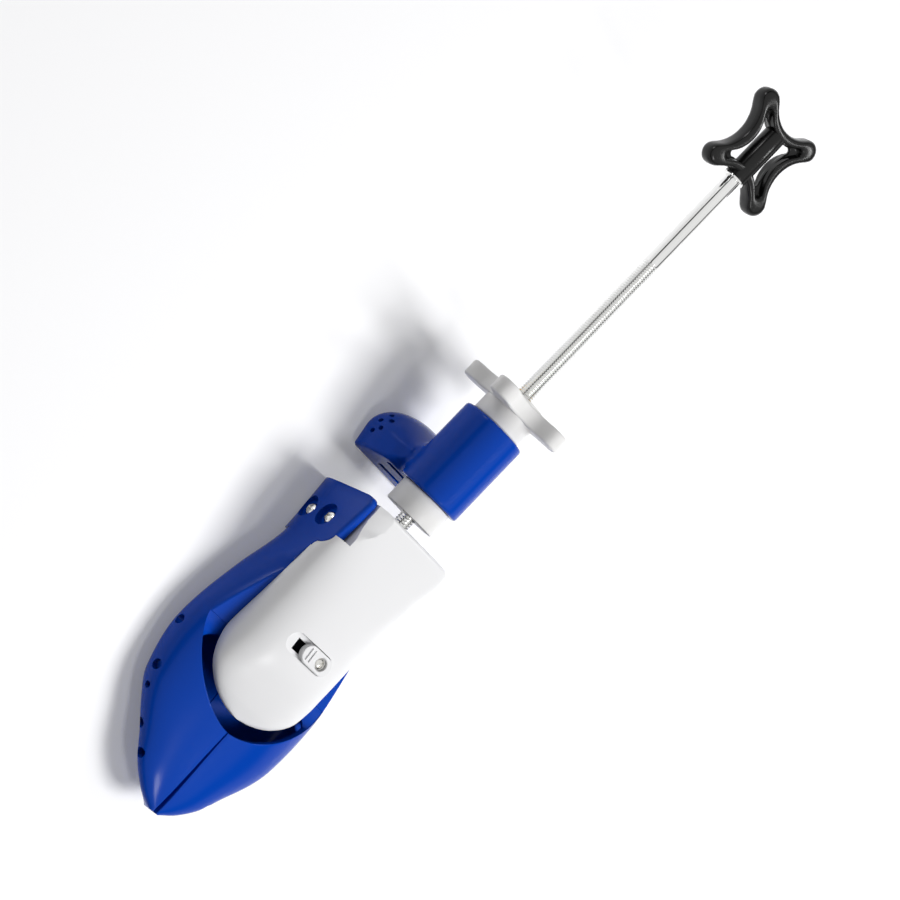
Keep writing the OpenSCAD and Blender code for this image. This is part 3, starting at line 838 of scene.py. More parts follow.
    def arch_ring(self, x: float) -> list[Vector]:
        """Ring through the arched opening and the vamp in front of it.

        Args:
            x: the station.

        Returns:
            The ring's points.
        """
        y, e = self.arch_y(x), self.arch_edge
        yi = min(y, self.half_w(x) - self.wall - 0.4)
        high = self.skin_z(x, y, 0.0)
        low = self.skin_z(x, yi, self.wall) + 0.4
        fade = smoothstep(0.0, self.ledge_l, x - self.shelf_end)
        ledge = place(x, self.deck_in, self.shelf(x))
        top = [
            place(x, y + 0.25 * e, high - 0.12), place(x, y, high - 0.45),
            ledge.lerp(place(x, y, (high + low) / 2 - 0.2), fade),
            (ledge - Vector((0.0, 0.0, self.shelf_t * MM))).lerp(place(x, yi, low), fade),
        ]
        return self.outer_path(x, y + e) + top + self.inner_path(x, yi)

    def toe_ring(self, x: float) -> list[Vector]:
        """Ring through the solid toe.

        Args:
            x: the station.

        Returns:
            The ring's points.
        """
        s, left = self.seam(x), self.inner_n
        zt, zb = self.skin_z(x, s, 0.0) - 0.3, self.sole(x)
        back = [place(x, s, zt + (zb - zt) * i / (left + 1)) for i in range(left)]
        return self.outer_path(x, s + 0.3) + back

    def rings(self, tall: bool) -> list[list[Vector]]:
        """All rings from the ear to the toe.

        Args:
            tall: whether the ear stands up.

        Returns:
            The rings in order.
        """
        end, flat = self.start + self.ear_l, self.ear_l - self.ear_r1
        solid = TIP_X - self.solid_l
        ear = [0.0, 0.15, 0.5, 1.1, 2.0, 3.0, 4.0, 8.0, 12.0, 16.0, 20.0, flat]
        ear += [flat + self.ear_r1 * math.sin(u) for u in spread(math.pi / 16, math.pi / 2, 8)]
        arch = [0.05] + [self.arch_l * math.sin(u) for u in spread(math.pi / 56, math.pi / 2, 28)]
        toe = [self.solid_l * math.cos(u) for u in spread(0.03, math.pi / 2, 16)]
        out = [self.ear_ring(self.start + d, tall) for d in ear]
        out += [self.shelf_ring(end + d) for d in (0.05, 0.4, 0.8, 1.3, 1.9, 2.6)]
        out += [self.shelf_ring(x) for x in spread(end + 5.0, self.shelf_end, 22)]
        out += [self.arch_ring(self.shelf_end + d) for d in arch]
        out += [self.arch_ring(x) for x in spread(self.shelf_end + 37.0, solid, 14)]
        return out + [self.toe_ring(TIP_X - d) for d in toe]

    def plug_hole(self, d: float, z: float, size: float, side: int) -> bmesh.types.BMesh:
        """Cutter of a plug hole, square to the skin.

        Args:
            d: distance from the form's rear face.
            z: height over the sole.
            size: its size as a share of a full plug.
            side: 1 is left, -1 right.

        Returns:
            The closed cutter.
        """
        x = self.start + d
        turn = math.atan(self.half_w(x - 0.5) - self.half_w(x + 0.5))
        fall = self.skin_y(x, z - 0.5, 0.0) - self.skin_y(x, z + 0.5, 0.0)
        rise = math.atan(fall * math.cos(turn))
        flat = math.cos(rise)
        outward = Vector((math.sin(turn) * flat, side * math.cos(turn) * flat, math.sin(rise)))
        aim = outward.to_track_quat("Z", "Y").to_matrix().to_4x4()
        spot = aimed(x, side * self.skin_y(x, z, 0.0), z, aim) @ up(-self.plug_l - 1)
        return rod_hole(self.plug_d / 2 * size, self.plug_l + 4, spot)

    def half(self, side: int, body: Body, name: str, blue: bpy.types.Material) -> None:
        """Builds one half with its plug holes and screw recesses.

        Args:
            side: 1 is left, -1 right.
            body: the body that it rides on.
            name: the solid that it replaces.
            blue: its material.
        """
        bm = loft(self.rings(side < 0))
        bmesh.ops.transform(bm, matrix=Matrix.Scale(side, 4, Vector((0, 1, 0))), verts=bm.verts)
        bmesh.ops.recalc_face_normals(bm, faces=bm.faces)
        obj = new_object(f"{name}_shell", bm)
        cutters = [self.plug_hole(d, z, size, side) for d, z, size in self.PLUGS]
        for z, _ in SCREW_ROWS:
            aim = Matrix.Rotation(-side * math.pi / 2, 4, "X")
            spot = aimed(SCREW_X, 0.0, z, aim) @ up(self.ear_out - self.recess_h)
            cutters.append(rod_hole(self.recess_d / 2, 10.0, spot, 64))
        combine(obj, cutters)
        soften(obj, 0.35, 2, 40.0)
        dress(obj, blue, body, [name])

    def build(self, palette: Palette) -> None:
        """Builds both halves."""
        self.half(1, Body.LEFT, "half_left", palette.blue)
        self.half(-1, Body.RIGHT, "half_right", palette.blue)


# Instep plate


def stadium(length: float, width: float, steps: int = 12) -> list[tuple[float, float]]:
    """Outlines an oblong with round ends, long along Y.

    Args:
        length: whole length.
        width: width across.
        steps: steps on each round end.

    Returns:
        The outline in x and y.
    """
    r, run = width / 2, (length - width) / 2
    top = [(r * math.cos(u), run + r * math.sin(u)) for u in spread(0.0, math.pi, steps + 1)]
    return top + [(-x, -y) for x, y in top]


@dataclass
class InstepPlate:
    """The white plate over the form, with its latch pocket."""

    form: ToeForm
    start: float = 61.0
    half_width: float = 29.0
    wall: float = 2.8
    lift: float = 0.4
    rear_round: float = 2.2
    side_y: float = -21.3
    side_end: float = -27.0
    ease_y: float = -13.5
    ease_in: float = 7.0
    shut_right: float = -23.5
    shut_left: float = -18.5
    shut_low: float = 32.6
    over: float = 60.0
    gap: float = 0.55
    foot_r: float = 2.6
    pocket_l: float = 27.5
    pocket_w: float = 9.7
    pad_rim: float = 3.6
    pad_t: float = 1.6
    slot_w: float = 5.7
    slot_right: float = -8.2
    slot_left: float = 10.2
    arc_n: int = 49

    CROWN = (
        (0, 47), (29, 44), (54, 41), (67, 39.4), (79, 37.2), (89, 33.6), (99, 29.2),
        (104, 26.6), (106.3, 25.4),
    )
    PLAN = (
        (0, 1), (4, 1.05), (10, 1.04), (19, 1), (29, 1), (54, 1), (80, 1.02), (87, 0.99),
        (92.5, 0.93), (97, 0.81), (101.3, 0.62), (104, 0.42), (105.5, 0.24), (106.3, 0.07),
    )
    RISE = ((0, 0), (76, 0), (85, 2.8), (92, 6.2), (99, 9.2), (106.3, 11.6))

    def arc(self, x: float, inset: float, drop: float, low: float) -> list[Vector]:
        """Arc of the crown at x.

        Args:
            x: the station.
            inset: how much narrower than the plate.
            drop: how much lower than the crown.
            low: height of the arc's ends.

        Returns:
            The points from left to right.
        """
        w = self.half_width * curve(self.PLAN, x - self.start) - inset
        top = curve(self.CROWN, x - self.start) - drop
        power = 0.42 + 0.2 * smoothstep(4.0, 27.0, x - self.start)
        power += 0.18 * smoothstep(20.0, 42.0, x - self.start)
        out = []
        for u in spread(0.0, math.pi, self.arc_n):
            c = math.cos(u)
            y = w * math.copysign(abs(c) ** power, c)
            out.append(place(x, y, low + (top - low) * max(0.0, math.sin(u)) ** power))
        return out

    def low(self, x: float) -> float:
        """Height of the plate's lower edge at x."""
        return self.form.shelf(x) + self.lift + curve(self.RISE, x - self.start)

    def ring(self, x: float) -> list[Vector]:
        """Hollow ring at x."""
        low = self.low(x)
        return self.arc(x, 0.0, 0.0, low) + self.arc(x, self.wall, self.wall, low)[::-1]

    def end_ring(self, x: float, inset: float = 0.0) -> list[Vector]:
        """Solid ring, for the rear wall and the nose.

        Args:
            x: the station.
            inset: how much smaller than the plate.

        Returns:
            The ring's points.
        """
        outer = self.arc(x, inset, inset, self.low(x) + 0.4 * inset)
        a, b = outer[-1], outer[0]
        return outer + [a.lerp(b, (i + 1) / (self.arc_n + 1)) for i in range(self.arc_n)]

    def rings(self) -> list[list[Vector]]:
        """All rings from the rear to the nose.

        Returns:
            The rings in order.
        """
        s, r = self.start, self.rear_round
        nose = (99.55, 101, 102.5, 103.8, 104.8, 105.5, 106.0, 106.3)
        out = [
            self.end_ring(s + r * (1 - math.cos(u)), r * (1 - math.sin(u)))
            for u in spread(0.12, math.pi / 2, 7)
        ]
        out += [self.ring(s + d) for d in [self.wall] + spread(6.0, 99.5, 52)]
        return out + [self.end_ring(s + d) for d in nose]

    def closing(self) -> bmesh.types.BMesh:
        """Wall beside the ear that closes the plate where it is cut.

        Returns:
            The closed wall.
        """
        rear = [self.end_ring(self.start + d) for d in spread(1.0, 32.0, 16)]
        wall = new_object("closing", loft(rear))
        strip = rect(self.start + 0.5, self.start + 31.5, self.shut_right, self.shut_left)
        combine(wall, [prism(strip, 20.0, upright(0.0, 0.0, self.shut_low))], "INTERSECT")
        bm = bmesh.new()
        bm.from_mesh(wall.data)
        discard(wall)
        return bm

    def slope(self) -> bmesh.types.BMesh:
        """Cutter that eases the crown down to the rim of the ear.

        Returns:
            The closed cutter.
        """
        form, side, end, rings = self.form, self.side_y, self.side_end, []
        for d in (-1.0, 4.0, 8.0, 12.0, 16.0, 20.0, 24.0):
            x = self.start + d
            share = smoothstep(6.0, 24.0, d)
            top = curve(self.CROWN, max(0.0, d)) + 0.1
            low = form.ear_z(max(4.0, d + self.start - form.start)) + 0.5
            low += (top - low) * share
            y = self.ease_y - self.ease_in * share
            fall = (top - low) / (y - side)
            points = (
                (y, top), (side, low), (end, low - (side - end) * fall),
                (end, self.over), (y, self.over),
            )
            rings.append([place(x, *p) for p in points])
        return loft(rings)

    def notch(self) -> bmesh.types.BMesh:
        """Cutter round the right ear.

        Returns:
            The closed cutter.
        """
        form, gap, foot = self.form, self.gap, self.foot_r
        s, flat, r = form.start, form.ear_l - form.ear_r1, form.ear_r1
        outline = [(s - 4.0, 0.0), (s - 4.0, 70.0), (s + 22.4, 70.0)]
        outline.append((s + flat, form.ear_z(flat) + gap))
        for u in spread(0.15, math.pi / 2, 9):
            base = form.ear_top - form.ear_fall * (flat + r * math.sin(u)) - r
            outline.append((s + flat + (r + gap) * math.sin(u), base + (r + gap) * math.cos(u)))
        foot_x, foot_z = s + form.ear_l + gap, form.shelf(s + form.ear_l) + foot
        for u in spread(0.0, math.pi / 2, 6):
            outline.append((foot_x + foot * (1 - math.cos(u)), foot_z - foot * math.sin(u)))
        outline.append((foot_x + foot, 0.0))
        turn = Matrix(((1, 0, 0, 0), (0, 0, 1, 0), (0, 1, 0, 0), (0, 0, 0, 1)))
        return prism(outline, self.over + self.side_y, upright(0.0, -self.over, 0.0) @ turn)

    def build(self, palette: Palette) -> None:
        """Builds the plate with its notch and its pocket.

        Args:
            palette: the materials.
        """
        obj = new_object("instep_plate_shell", loft(self.rings()))
        floor, half = POCKET_FLOOR, self.slot_w / 2
        pad = stadium(self.pocket_l + self.pad_rim, self.pocket_w + self.pad_rim)
        pad_at = upright(POCKET_X, 0.0, floor - self.pad_t)
        combine(obj, [prism(pad, self.pad_t + 0.3, pad_at), self.closing()], "UNION")
        pocket = stadium(self.pocket_l, self.pocket_w)
        slot = rect(-half, half, self.slot_right, self.slot_left)
        combine(obj, [
            self.notch(), self.slope(), prism(pocket, 9.0, upright(POCKET_X, 0.0, floor)),
            prism(slot, 9.0, upright(POCKET_X, 0.0, floor - 5)),
        ])
        soften(obj, 0.45, 3, 32.0)
        dress(obj, palette.white, Body.CORE, ["instep_plate"])


@dataclass
class Latch:
    """The latch button with its screw."""

    end: float = 13.45
    length: float = 18.0
    width: float = 9.0
    height: float = 3.4
    screw_y: float = 7.0
    recess_h: float = 2.2
    rib_w: float = 0.9

    def build(self, palette: Palette) -> None:
        """Builds the button with its ribs, and its screw.

        Args:
            palette: the materials.
        """
        at = upright(POCKET_X, self.end - self.length / 2, POCKET_FLOOR + 0.1)
        body = new_object(
            "latch_button_shell", prism(stadium(self.length, self.width, 20), self.height, at)
        )
        stem = upright(POCKET_X, self.screw_y, POCKET_FLOOR)
        seat = stem @ up(self.recess_h)
        combine(body, [rod_hole(3.0, 9.0, seat, 48)])
        combine(body, [rod_hole(1.2, 9.0, stem, 24)])
        soften(body, 0.55, 3, 35.0)
        dress(body, palette.white, Body.LATCH, ["latch_button"])
        for k, y in enumerate((-1.6, 0.6)):
            at = upright(POCKET_X, y + self.rib_w / 2, POCKET_FLOOR + 3.3)
            bm = bmesh.new()
            bmesh.ops.create_cube(bm, size=1.0)
            bmesh.ops.scale(bm, vec=(6.0, self.rib_w, 1.6), verts=bm.verts)
            bmesh.ops.transform(bm, matrix=at, verts=bm.verts)
            round_edges(bm, list(bm.edges), 0.35 * MM, 3)
            dress(new_object(f"latch_rib_{k}", bm), palette.white, Body.LATCH)
        head = pan_head("latch_screw_head", 2.75, 1.6, 4.0, 3.2, 0.75, seat)
        dress(head, palette.screw, Body.LATCH, ["latch_screw"])


def pan_head(
    name: str, radius: float, height: float, crown: float, cross: float, arm: float,
    matrix: Matrix,
) -> bpy.types.Object:
    """Makes a screw's pan head with a cross recess.

    Args:
        name: the object's name.
        radius: radius of the head.
        height: height of the head.
        crown: radius of its crown.
        cross: length of the recess across.
        arm: width of an arm of the recess.
        matrix: from millimetres, Z out of the head, to metres in the row.

    Returns:
        The head.
    """
    def dome(r: float) -> float:
        """Height of the crown at a radius."""
        return height - (crown - math.sqrt(crown * crown - r * r))

    stem, edge = 0.55 * radius, radius - 0.25
    points = [(0.0, -3.0), (stem, -3.0), (stem, 0.0), (radius, 0.0)]
    points.append((radius, max(0.25, dome(radius) - 0.15)))
    points += [(r, dome(r)) for r in [edge * (1 - k / 8) for k in range(9)]]
    head = new_object(name, revolve(points, matrix, 48))
    plus = [(arm / 2, arm / 2), (cross / 2, arm / 2 * 0.8), (cross / 2, -arm / 2 * 0.8)]
    outline = []
    for k in range(4):
        c, s = math.cos(-k * math.pi / 2), math.sin(-k * math.pi / 2)
        outline += [(x * c - y * s, x * s + y * c) for x, y in plus]
    combine(head, [prism(outline, 3.0, matrix @ up(height - 1.1))])
    crisp(head, 32.0)
    return head


@dataclass
class EarScrews:
    """The four screws in the ears."""

    seat: float = 24.0
    radius: float = 3.2

    def build(self, palette: Palette) -> None:
        """Builds each screw head with its shank.

        Args:
            palette: the materials.
        """
        for side, label, body in ((1, "left", Body.LEFT), (-1, "right", Body.RIGHT)):
            for z, row in SCREW_ROWS:
                name = f"ear_screw_{label}_{row}"
                aim = Matrix.Rotation(-side * math.pi / 2, 4, "X")
                turn = Matrix.Rotation(0.5 if row == "top" else 1.1, 4, "Z")
                at = aimed(SCREW_X, side * self.seat, z, aim @ turn)
                head = pan_head(f"{name}_head", self.radius, 2.2, 4.2, 4.2, 0.95, at)
                dress(head, palette.screw, body, [name])


# Heel


@dataclass
class Heel:
    """The heel piece: a barrel that grows out of a D-shaped base."""

    barrel_r: float = 16.0
    bore_r: float = 9.05
    width: float = 53.4
    plan_w: float = 54.4
    front: float = 41.0
    back: float = 12.2
    wall: float = 3.0
    edge: float = 1.3
    voxel: float = 0.55
    blend: float = 3.2
    slot_h: float = 2.6
    vent_r: float = 1.15

    WIDE = ((0, 25), (2, 26.6), (5, 27.2), (10, 26.4), (15, 24.2), (20, 21.2), (26, 17.5), (34, 14))
    REAR = ((0, 1.5), (2, 0.4), (5, 0), (10, 0.5), (15, 2.4), (20, 5.6), (26, 10), (34, 15))
    SLOTS = ((11.5, 12.0), (20.5, 15.0))
    VENTS = ((84, 8.5), (97, 8.5), (109, 9), (90, 11.5), (103, 12.2))

    def ring(self, z: float, inset: float) -> list[Vector]:
        """Ring of the base at a height.

        Args:
            z: the height.
            inset: how far inside the outer skin.

        Returns:
            The ring's points.
        """
        h = max(z, 0.0)
        w = curve(self.WIDE, h) * self.width / self.plan_w - inset
        f = self.front - (1 - h / 2 if h < 2 else 0) - 0.106 * min(h, 19.8) - inset
        f -= (h - 19.8) * 0.5 if h > 19.8 else 0
        b = self.back + curve(self.REAR, h) + inset
        m = f - min(12.0, (f - b) * 0.4)
        ring = [place(f, y, z) for y in spread(-w + 3, w - 3, 9)]
        ring.append(place(f - 0.25, w - 1.7, z))
        ring.append(place(f - 0.9, w - 0.9, z))
        for u in spread(0.0, math.pi, 61):
            ring.append(place(m - (m - b) * math.sin(u), w * math.cos(u), z))
        ring.append(place(f - 0.9, -w + 0.9, z))
        ring.append(place(f - 0.25, -w + 1.7, z))
        return ring

    def barrel(self) -> bmesh.types.BMesh:
        """Solid barrel with rounded ends.

        Returns:
            The closed barrel.
        """
        r, e = self.barrel_r, self.edge
        turn = [(e * math.sin(u), e * math.cos(u)) for u in spread(0.0, math.pi / 2, 6)]
        profile = [(0.0, -BARREL_L)]
        profile += [(r - e + s, -BARREL_L + e - c) for s, c in turn]
        profile += [(r - e + c, -e + s) for s, c in turn]
        return revolve(profile + [(0.0, 0.0)], rod_matrix(), 128)

    def melt(self, obj: bpy.types.Object) -> None:
        """Rounds the hollow where the base meets the barrel.

        Args:
            obj: the joined and remeshed heel.
        """
        inverse = rod_matrix().inverted()
        base = loft([self.ring(z, 0.0) for z in spread(0.0, 34.0, 35)])
        tree = BVHTree.FromBMesh(base)
        base.free()
        bm = bmesh.new()
        bm.from_mesh(obj.data)
        near, close = [], []
        for v in bm.verts:
            local = inverse @ v.co
            off = abs(math.hypot(local.x, local.y) - self.barrel_r)
            outside = not -BARREL_L - 1 < local.z < 1
            if outside or off > self.blend or v.co.z > 40 * MM:
                continue
            gap = tree.find_nearest(v.co)[3] / MM
            if gap < self.blend:
                near.append(v)
                if off + gap < self.blend * 0.8:
                    close.append(v)
        for count, verts in ((26, near), (40, close), (1, bm.verts)):
            for _ in range(count):
                bmesh.ops.smooth_vert(
                    bm, verts=verts, factor=0.5, use_axis_x=True, use_axis_y=True, use_axis_z=True
                )
        bm.to_mesh(obj.data)
        bm.free()

    def build(self, palette: Palette) -> None:
        """Builds the heel with its bore, hollow, slots and holes.

        Args:
            palette: the materials.
        """
        solid = loft([self.ring(z, 0.0) for z in [0.0, 0.5, 1.2, 2.0] + spread(3.0, 29.0, 27)])
        obj = new_object("heel_shell", solid)
        combine(obj, [self.barrel()], "UNION")
        mod = obj.modifiers.new("even", "REMESH")
        mod.mode = "VOXEL"
        mod.voxel_size = self.voxel * MM
        settle(obj)
        self.melt(obj)
        cutters = [
            rod_hole(self.bore_r, BARREL_L + 6, rod_matrix(-BARREL_L - 3), 96),
            loft([self.ring(z, self.wall) for z in spread(-1.0, 15.0, 9)]),
        ]
        for z, half in self.SLOTS:
            slot = rect(self.front - 9, self.front + 3, -half, half)
            cutters.append(prism(slot, self.slot_h, upright(0.0, 0.0, z - 4.3)))
        for turn, z in self.VENTS:
            tip = Matrix.Rotation(math.radians(90 - turn), 4, "Y")
            at = aimed(self.back + 17, 0.0, z, Matrix.Rotation(math.pi / 2, 4, "X") @ tip)
            cutters.append(rod_hole(self.vent_r, 40.0, at, 20))
        combine(obj, cutters)
        obj.data.shade_smooth()
        soften(obj, 0.3, 2, 50.0)
        dress(obj, palette.blue, Body.HEEL, ["heel_body"])


# Knob, collar, rod and handle


def rounded(r: float, low: float, high: float, e: float) -> list[tuple[float, float]]:
    """Profile of a turned band with both edges rounded by e."""
    near, far = r - 0.3 * e, 0.3 * e
    return [
        (r - e, low), (near, low + far), (r, low + e), (r, high - e), (near, high - far),
        (r - e, high),
    ]


@dataclass
class Knob:
    """The star knob, its sleeve and the front collar."""

    hub_r: float = 12.75
    star_q: float = 8.8
    star_t: float = 8.0
    reach: float = 28.0
    lobe_r: float = 6.0
    turn: float = 35.0
    gap: float = 0.2
    sleeve_r: float = 9.0
    free_r: float = 4.5
    insert_r: float = 6.5
    insert_l: float = 9.0
    collar_r: float = 13.0
    collar_l: float = 11.6

    def star(self) -> bmesh.types.BMesh:
        """Star plate with rounded edges.

        Returns:
            The closed plate.
        """
        middle = (self.reach - self.lobe_r) / math.sqrt(2)
        outline = lobed(middle, self.lobe_r, self.hub_r + 0.6, 40)
        turn = Matrix.Rotation(math.radians(self.turn - 45), 4, "Z")
        bm = prism(outline, self.star_t, Matrix.Identity(4))
        rims = [e for e in bm.edges if abs(e.verts[0].co.z - e.verts[1].co.z) < 1e-6]
        round_edges(bm, rims, 1.2, 5)
        bmesh.ops.transform(bm, matrix=rod_matrix(self.star_q) @ turn, verts=bm.verts)
        return bm

    def build(self, palette: Palette) -> None:
        """Builds the star, the hub with its sleeve, and the collar.

        Args:
            palette: the materials.
        """
        star = new_object("knob_star", self.star())
        r, low, free = self.hub_r, self.gap, self.free_r
        back, end = self.star_q + self.star_t + 0.8, -BARREL_L - self.gap
        hub = [
            (free, end), (self.sleeve_r, end), (self.sleeve_r, low), (r - 0.5, low),
            (r, low + 0.5), (r, back - 0.9), (r - 0.26, back - 0.26), (r - 0.9, back),
            (self.insert_r, back), (self.insert_r, back - self.insert_l),
            (free, back - self.insert_l),
        ]
        combine(star, [revolve(hub, rod_matrix(), 128)], "UNION")
        crisp(star, 38.0)
        soften(star, 0.35, 2, 38.0)
        dress(star, palette.cream, Body.KNOB, ["knob"])
        front = end - self.collar_l
        ring = [(free, front)] + rounded(self.collar_r, front, end, 0.5) + [(free, end)]
        collar = turned("collar_shell", ring, 0.0, 128)
        dress(collar, palette.cream, Body.KNOB, ["front_collar"])


@dataclass
class Rod:
    """The threaded rod with its plain ends."""

    radius: float = 4.0
    root: float = 3.36
    crest: float = 0.08
    pitch: float = 1.25
    start: float = -103.6
    thread_end: float = 99.4
    core_r: float = 3.3
    shank_r: float = 3.7
    shank_end: float = 151.9
    journal_r: float = 3.0
    groove: float = 0.4
    steps: int = 20

    def thread(self) -> bmesh.types.BMesh:
        """Right-hand thread, clipped square at both ends.

        Returns:
            The closed thread.
        """
        turns = math.ceil((self.thread_end - self.start) / self.pitch) + 2
        p, r, flat = self.pitch, self.radius, 0.12 * self.pitch
        profile = (
            (self.root, 0.0), (r - self.crest, 0.5 * p - flat), (r, 0.5 * p - 0.5 * flat),
            (r, 0.5 * p + 0.5 * flat), (r - self.crest, 0.5 * p + flat), (self.root, p),
        )
        bm = bmesh.new()
        bmesh.ops.spin(
            bm, geom=drawn(bm, profile, False), cent=(0, 0, 0), axis=(0, 0, 1),
            dvec=(0, 0, p / self.steps), angle=2 * math.pi * turns, steps=turns * self.steps,
            use_merge=False, use_duplicate=False,
        )
        bmesh.ops.remove_doubles(bm, verts=bm.verts, dist=2e-3)
        low, high = 1.5 * p, 1.5 * p + self.thread_end - self.start
        for z, way in ((low, -1.0), (high, 1.0)):
            everything = list(bm.verts) + list(bm.edges) + list(bm.faces)
            bmesh.ops.bisect_plane(
                bm, geom=everything, dist=1e-5, plane_co=(0, 0, z), plane_no=(0, 0, way),
                clear_outer=True,
            )
            rim = [e for e in bm.edges if e.is_boundary
                   and abs(e.verts[0].co.z - z) < 1e-3 and abs(e.verts[1].co.z - z) < 1e-3]
            bmesh.ops.contextual_create(bm, geom=rim)
        bmesh.ops.recalc_face_normals(bm, faces=bm.faces)
        bmesh.ops.transform(bm, matrix=rod_matrix(self.start - low), verts=bm.verts)
        return bm

    def build(self, palette: Palette) -> None:
        """Builds the thread and the plain ends.

        Args:
            palette: the materials.
        """
        thread = new_object("rod_thread", self.thread())
        crisp(thread, 25.0)
        dress(thread, palette.rod, Body.ROD)
        j, g, core, end = self.journal_r, self.groove, self.core_r, self.thread_end
        profile = [
            (0.0, -117.6), (j - 0.4, -117.6), (j, -117.2), (j, -115.55), (j - g, -115.5),
            (j - g, -114.7), (j, -114.65), (j, self.start), (core, self.start),
            (core, end - 1.0), (3.45, end), (self.shank_r, end + 0.6),
            (self.shank_r, self.shank_end), (j, self.shank_end + 0.01), (j, 179.1),
            (j - 0.4, 179.5), (0.0, 179.5),
        ]
        shank = turned("rod_shank", profile, 0.0, 64)
        dress(shank, palette.rod, Body.ROD, ["rod"])
        thread.visible_shadow = shank.visible_shadow = False


@dataclass
class Handle:
    """The ring handle with its four lobes and its hub."""

    hollow: float = 14.3
    band: float = 4.7
    hub_r: float = 5.4
    bore_r: float = 3.0
    nut_r: float = 4.1
    nut_l: float = 3.0
    washer_r: float = 5.6
    washer_at: float = -17.3
    count: int = 48

    def rings(self) -> list[list[Vector]]:
        """Rings of the band's section, from the outer side over the top and round.

        Returns:
            The rings in order.
        """
        inside, top, spot = self.hollow - self.band, RING_T / 2, rod_matrix(HANDLE_Q)
        outer = lobed(LOBE_P, LOBE_R, self.hollow, self.count)
        mid = lobed(LOBE_P - 1.2, 4.1, self.hollow - 1.5, self.count)
        lip = lobed(LOBE_P - 4.2, 2.2, inside, self.count)
        window = lobed(LOBE_P - 7.2, 1.8, inside, self.count)
        # each ring lies between two outlines: the share of the second, and the height
        plan = (
            (outer, mid, (
                (0.0, 0.0), (0.0, 1.4), (0.08, 2.5), (0.3, 3.4), (0.62, 4.05), (1.0, top - 0.15),
            )),
            (mid, lip, ((0.35, top), (0.7, top), (0.88, top - 0.12))),
            (lip, window, (
                (0.0, top - 0.5), (0.0, top - 1.1), (0.06, top - 2.2), (0.2, top - 3.0),
                (0.5, top - 3.5), (0.85, top - 3.6), (1.0, top - 3.9), (1.0, 0.0),
            )),
        )
        half = [
            [spot @ Vector((h, (1 - t) * p[0] + t * q[0], (1 - t) * p[1] + t * q[1]))
             for p, q in zip(a, b)]
            for a, b, steps in plan
            for t, h in steps
        ]
        flip = spot @ Matrix.Scale(-1, 4, Vector((1, 0, 0))) @ spot.inverted()
        return half + [[flip @ p for p in ring] for ring in half[-2:0:-1]]

    def build(self, palette: Palette) -> None:
        """Builds the ring, the hub and the washer.

        Args:
            palette: the materials.
        """
        rings = self.rings()
        bm = loft(rings + [rings[0]], caps=False)
        bmesh.ops.remove_doubles(bm, verts=bm.verts, dist=1e-6)
        bmesh.ops.recalc_face_normals(bm, faces=bm.faces)
        ring = new_object("handle_ring", bm)
        low, high = -self.hollow - 2.0, self.hollow - self.band + 0.6
        seat = high - self.nut_l
        profile = [(self.bore_r, low)] + rounded(self.hub_r, low, high, 0.5)
        profile += [(self.nut_r, high), (self.nut_r, seat), (self.bore_r, seat)]
        hub = turned("handle_hub", profile, HANDLE_Q, 72)
        dress(ring, palette.black, Body.ROD, ["handle"])
        dress(hub, palette.black, Body.ROD)
        ring.visible_shadow = hub.visible_shadow = False
        b, r = self.bore_r, self.washer_r
        flat = [(b, 0.0), (r - 0.25, 0.0), (r, 0.25), (r, 0.75), (r - 0.25, 1.0), (b, 1.0)]
        washer = turned("handle_washer_ring", flat, HANDLE_Q + self.washer_at, 64)
        dress(washer, palette.rod, Body.ROD, ["handle_washer"])


# Inner pieces


@dataclass(frozen=True)
class InnerPieces:
    """The solids that stay as they are and only get a finish."""

    def build(self, palette: Palette) -> None:
        """Gives each inner solid its material.

        Args:
            palette: the materials.
        """
        plan: dict[str, bpy.types.Material] = {
            "core_block": palette.core,
            "cam_plate": palette.core,
            "knob_nut": palette.brass,
        }
        for name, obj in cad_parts.items():
            obj.data.materials.clear()
            obj.data.materials.append(plan.get(name, palette.steel))
        log.info("inner solids finished")


# Studio


def largest(
    tree: bpy.types.NodeTree, first: bpy.types.NodeSocket, second: bpy.types.NodeSocket
) -> bpy.types.NodeSocket:
    """Takes the greater of two values.

    Args:
        tree: the node tree.
        first: the one value.
        second: the other.

    Returns:
        The output that holds the greater one.
    """
    node = tree.nodes.new("ShaderNodeMath")
    node.operation = "MAXIMUM"
    tree.links.new(first, node.inputs[0])
    tree.links.new(second, node.inputs[1])
    return node.outputs[0]


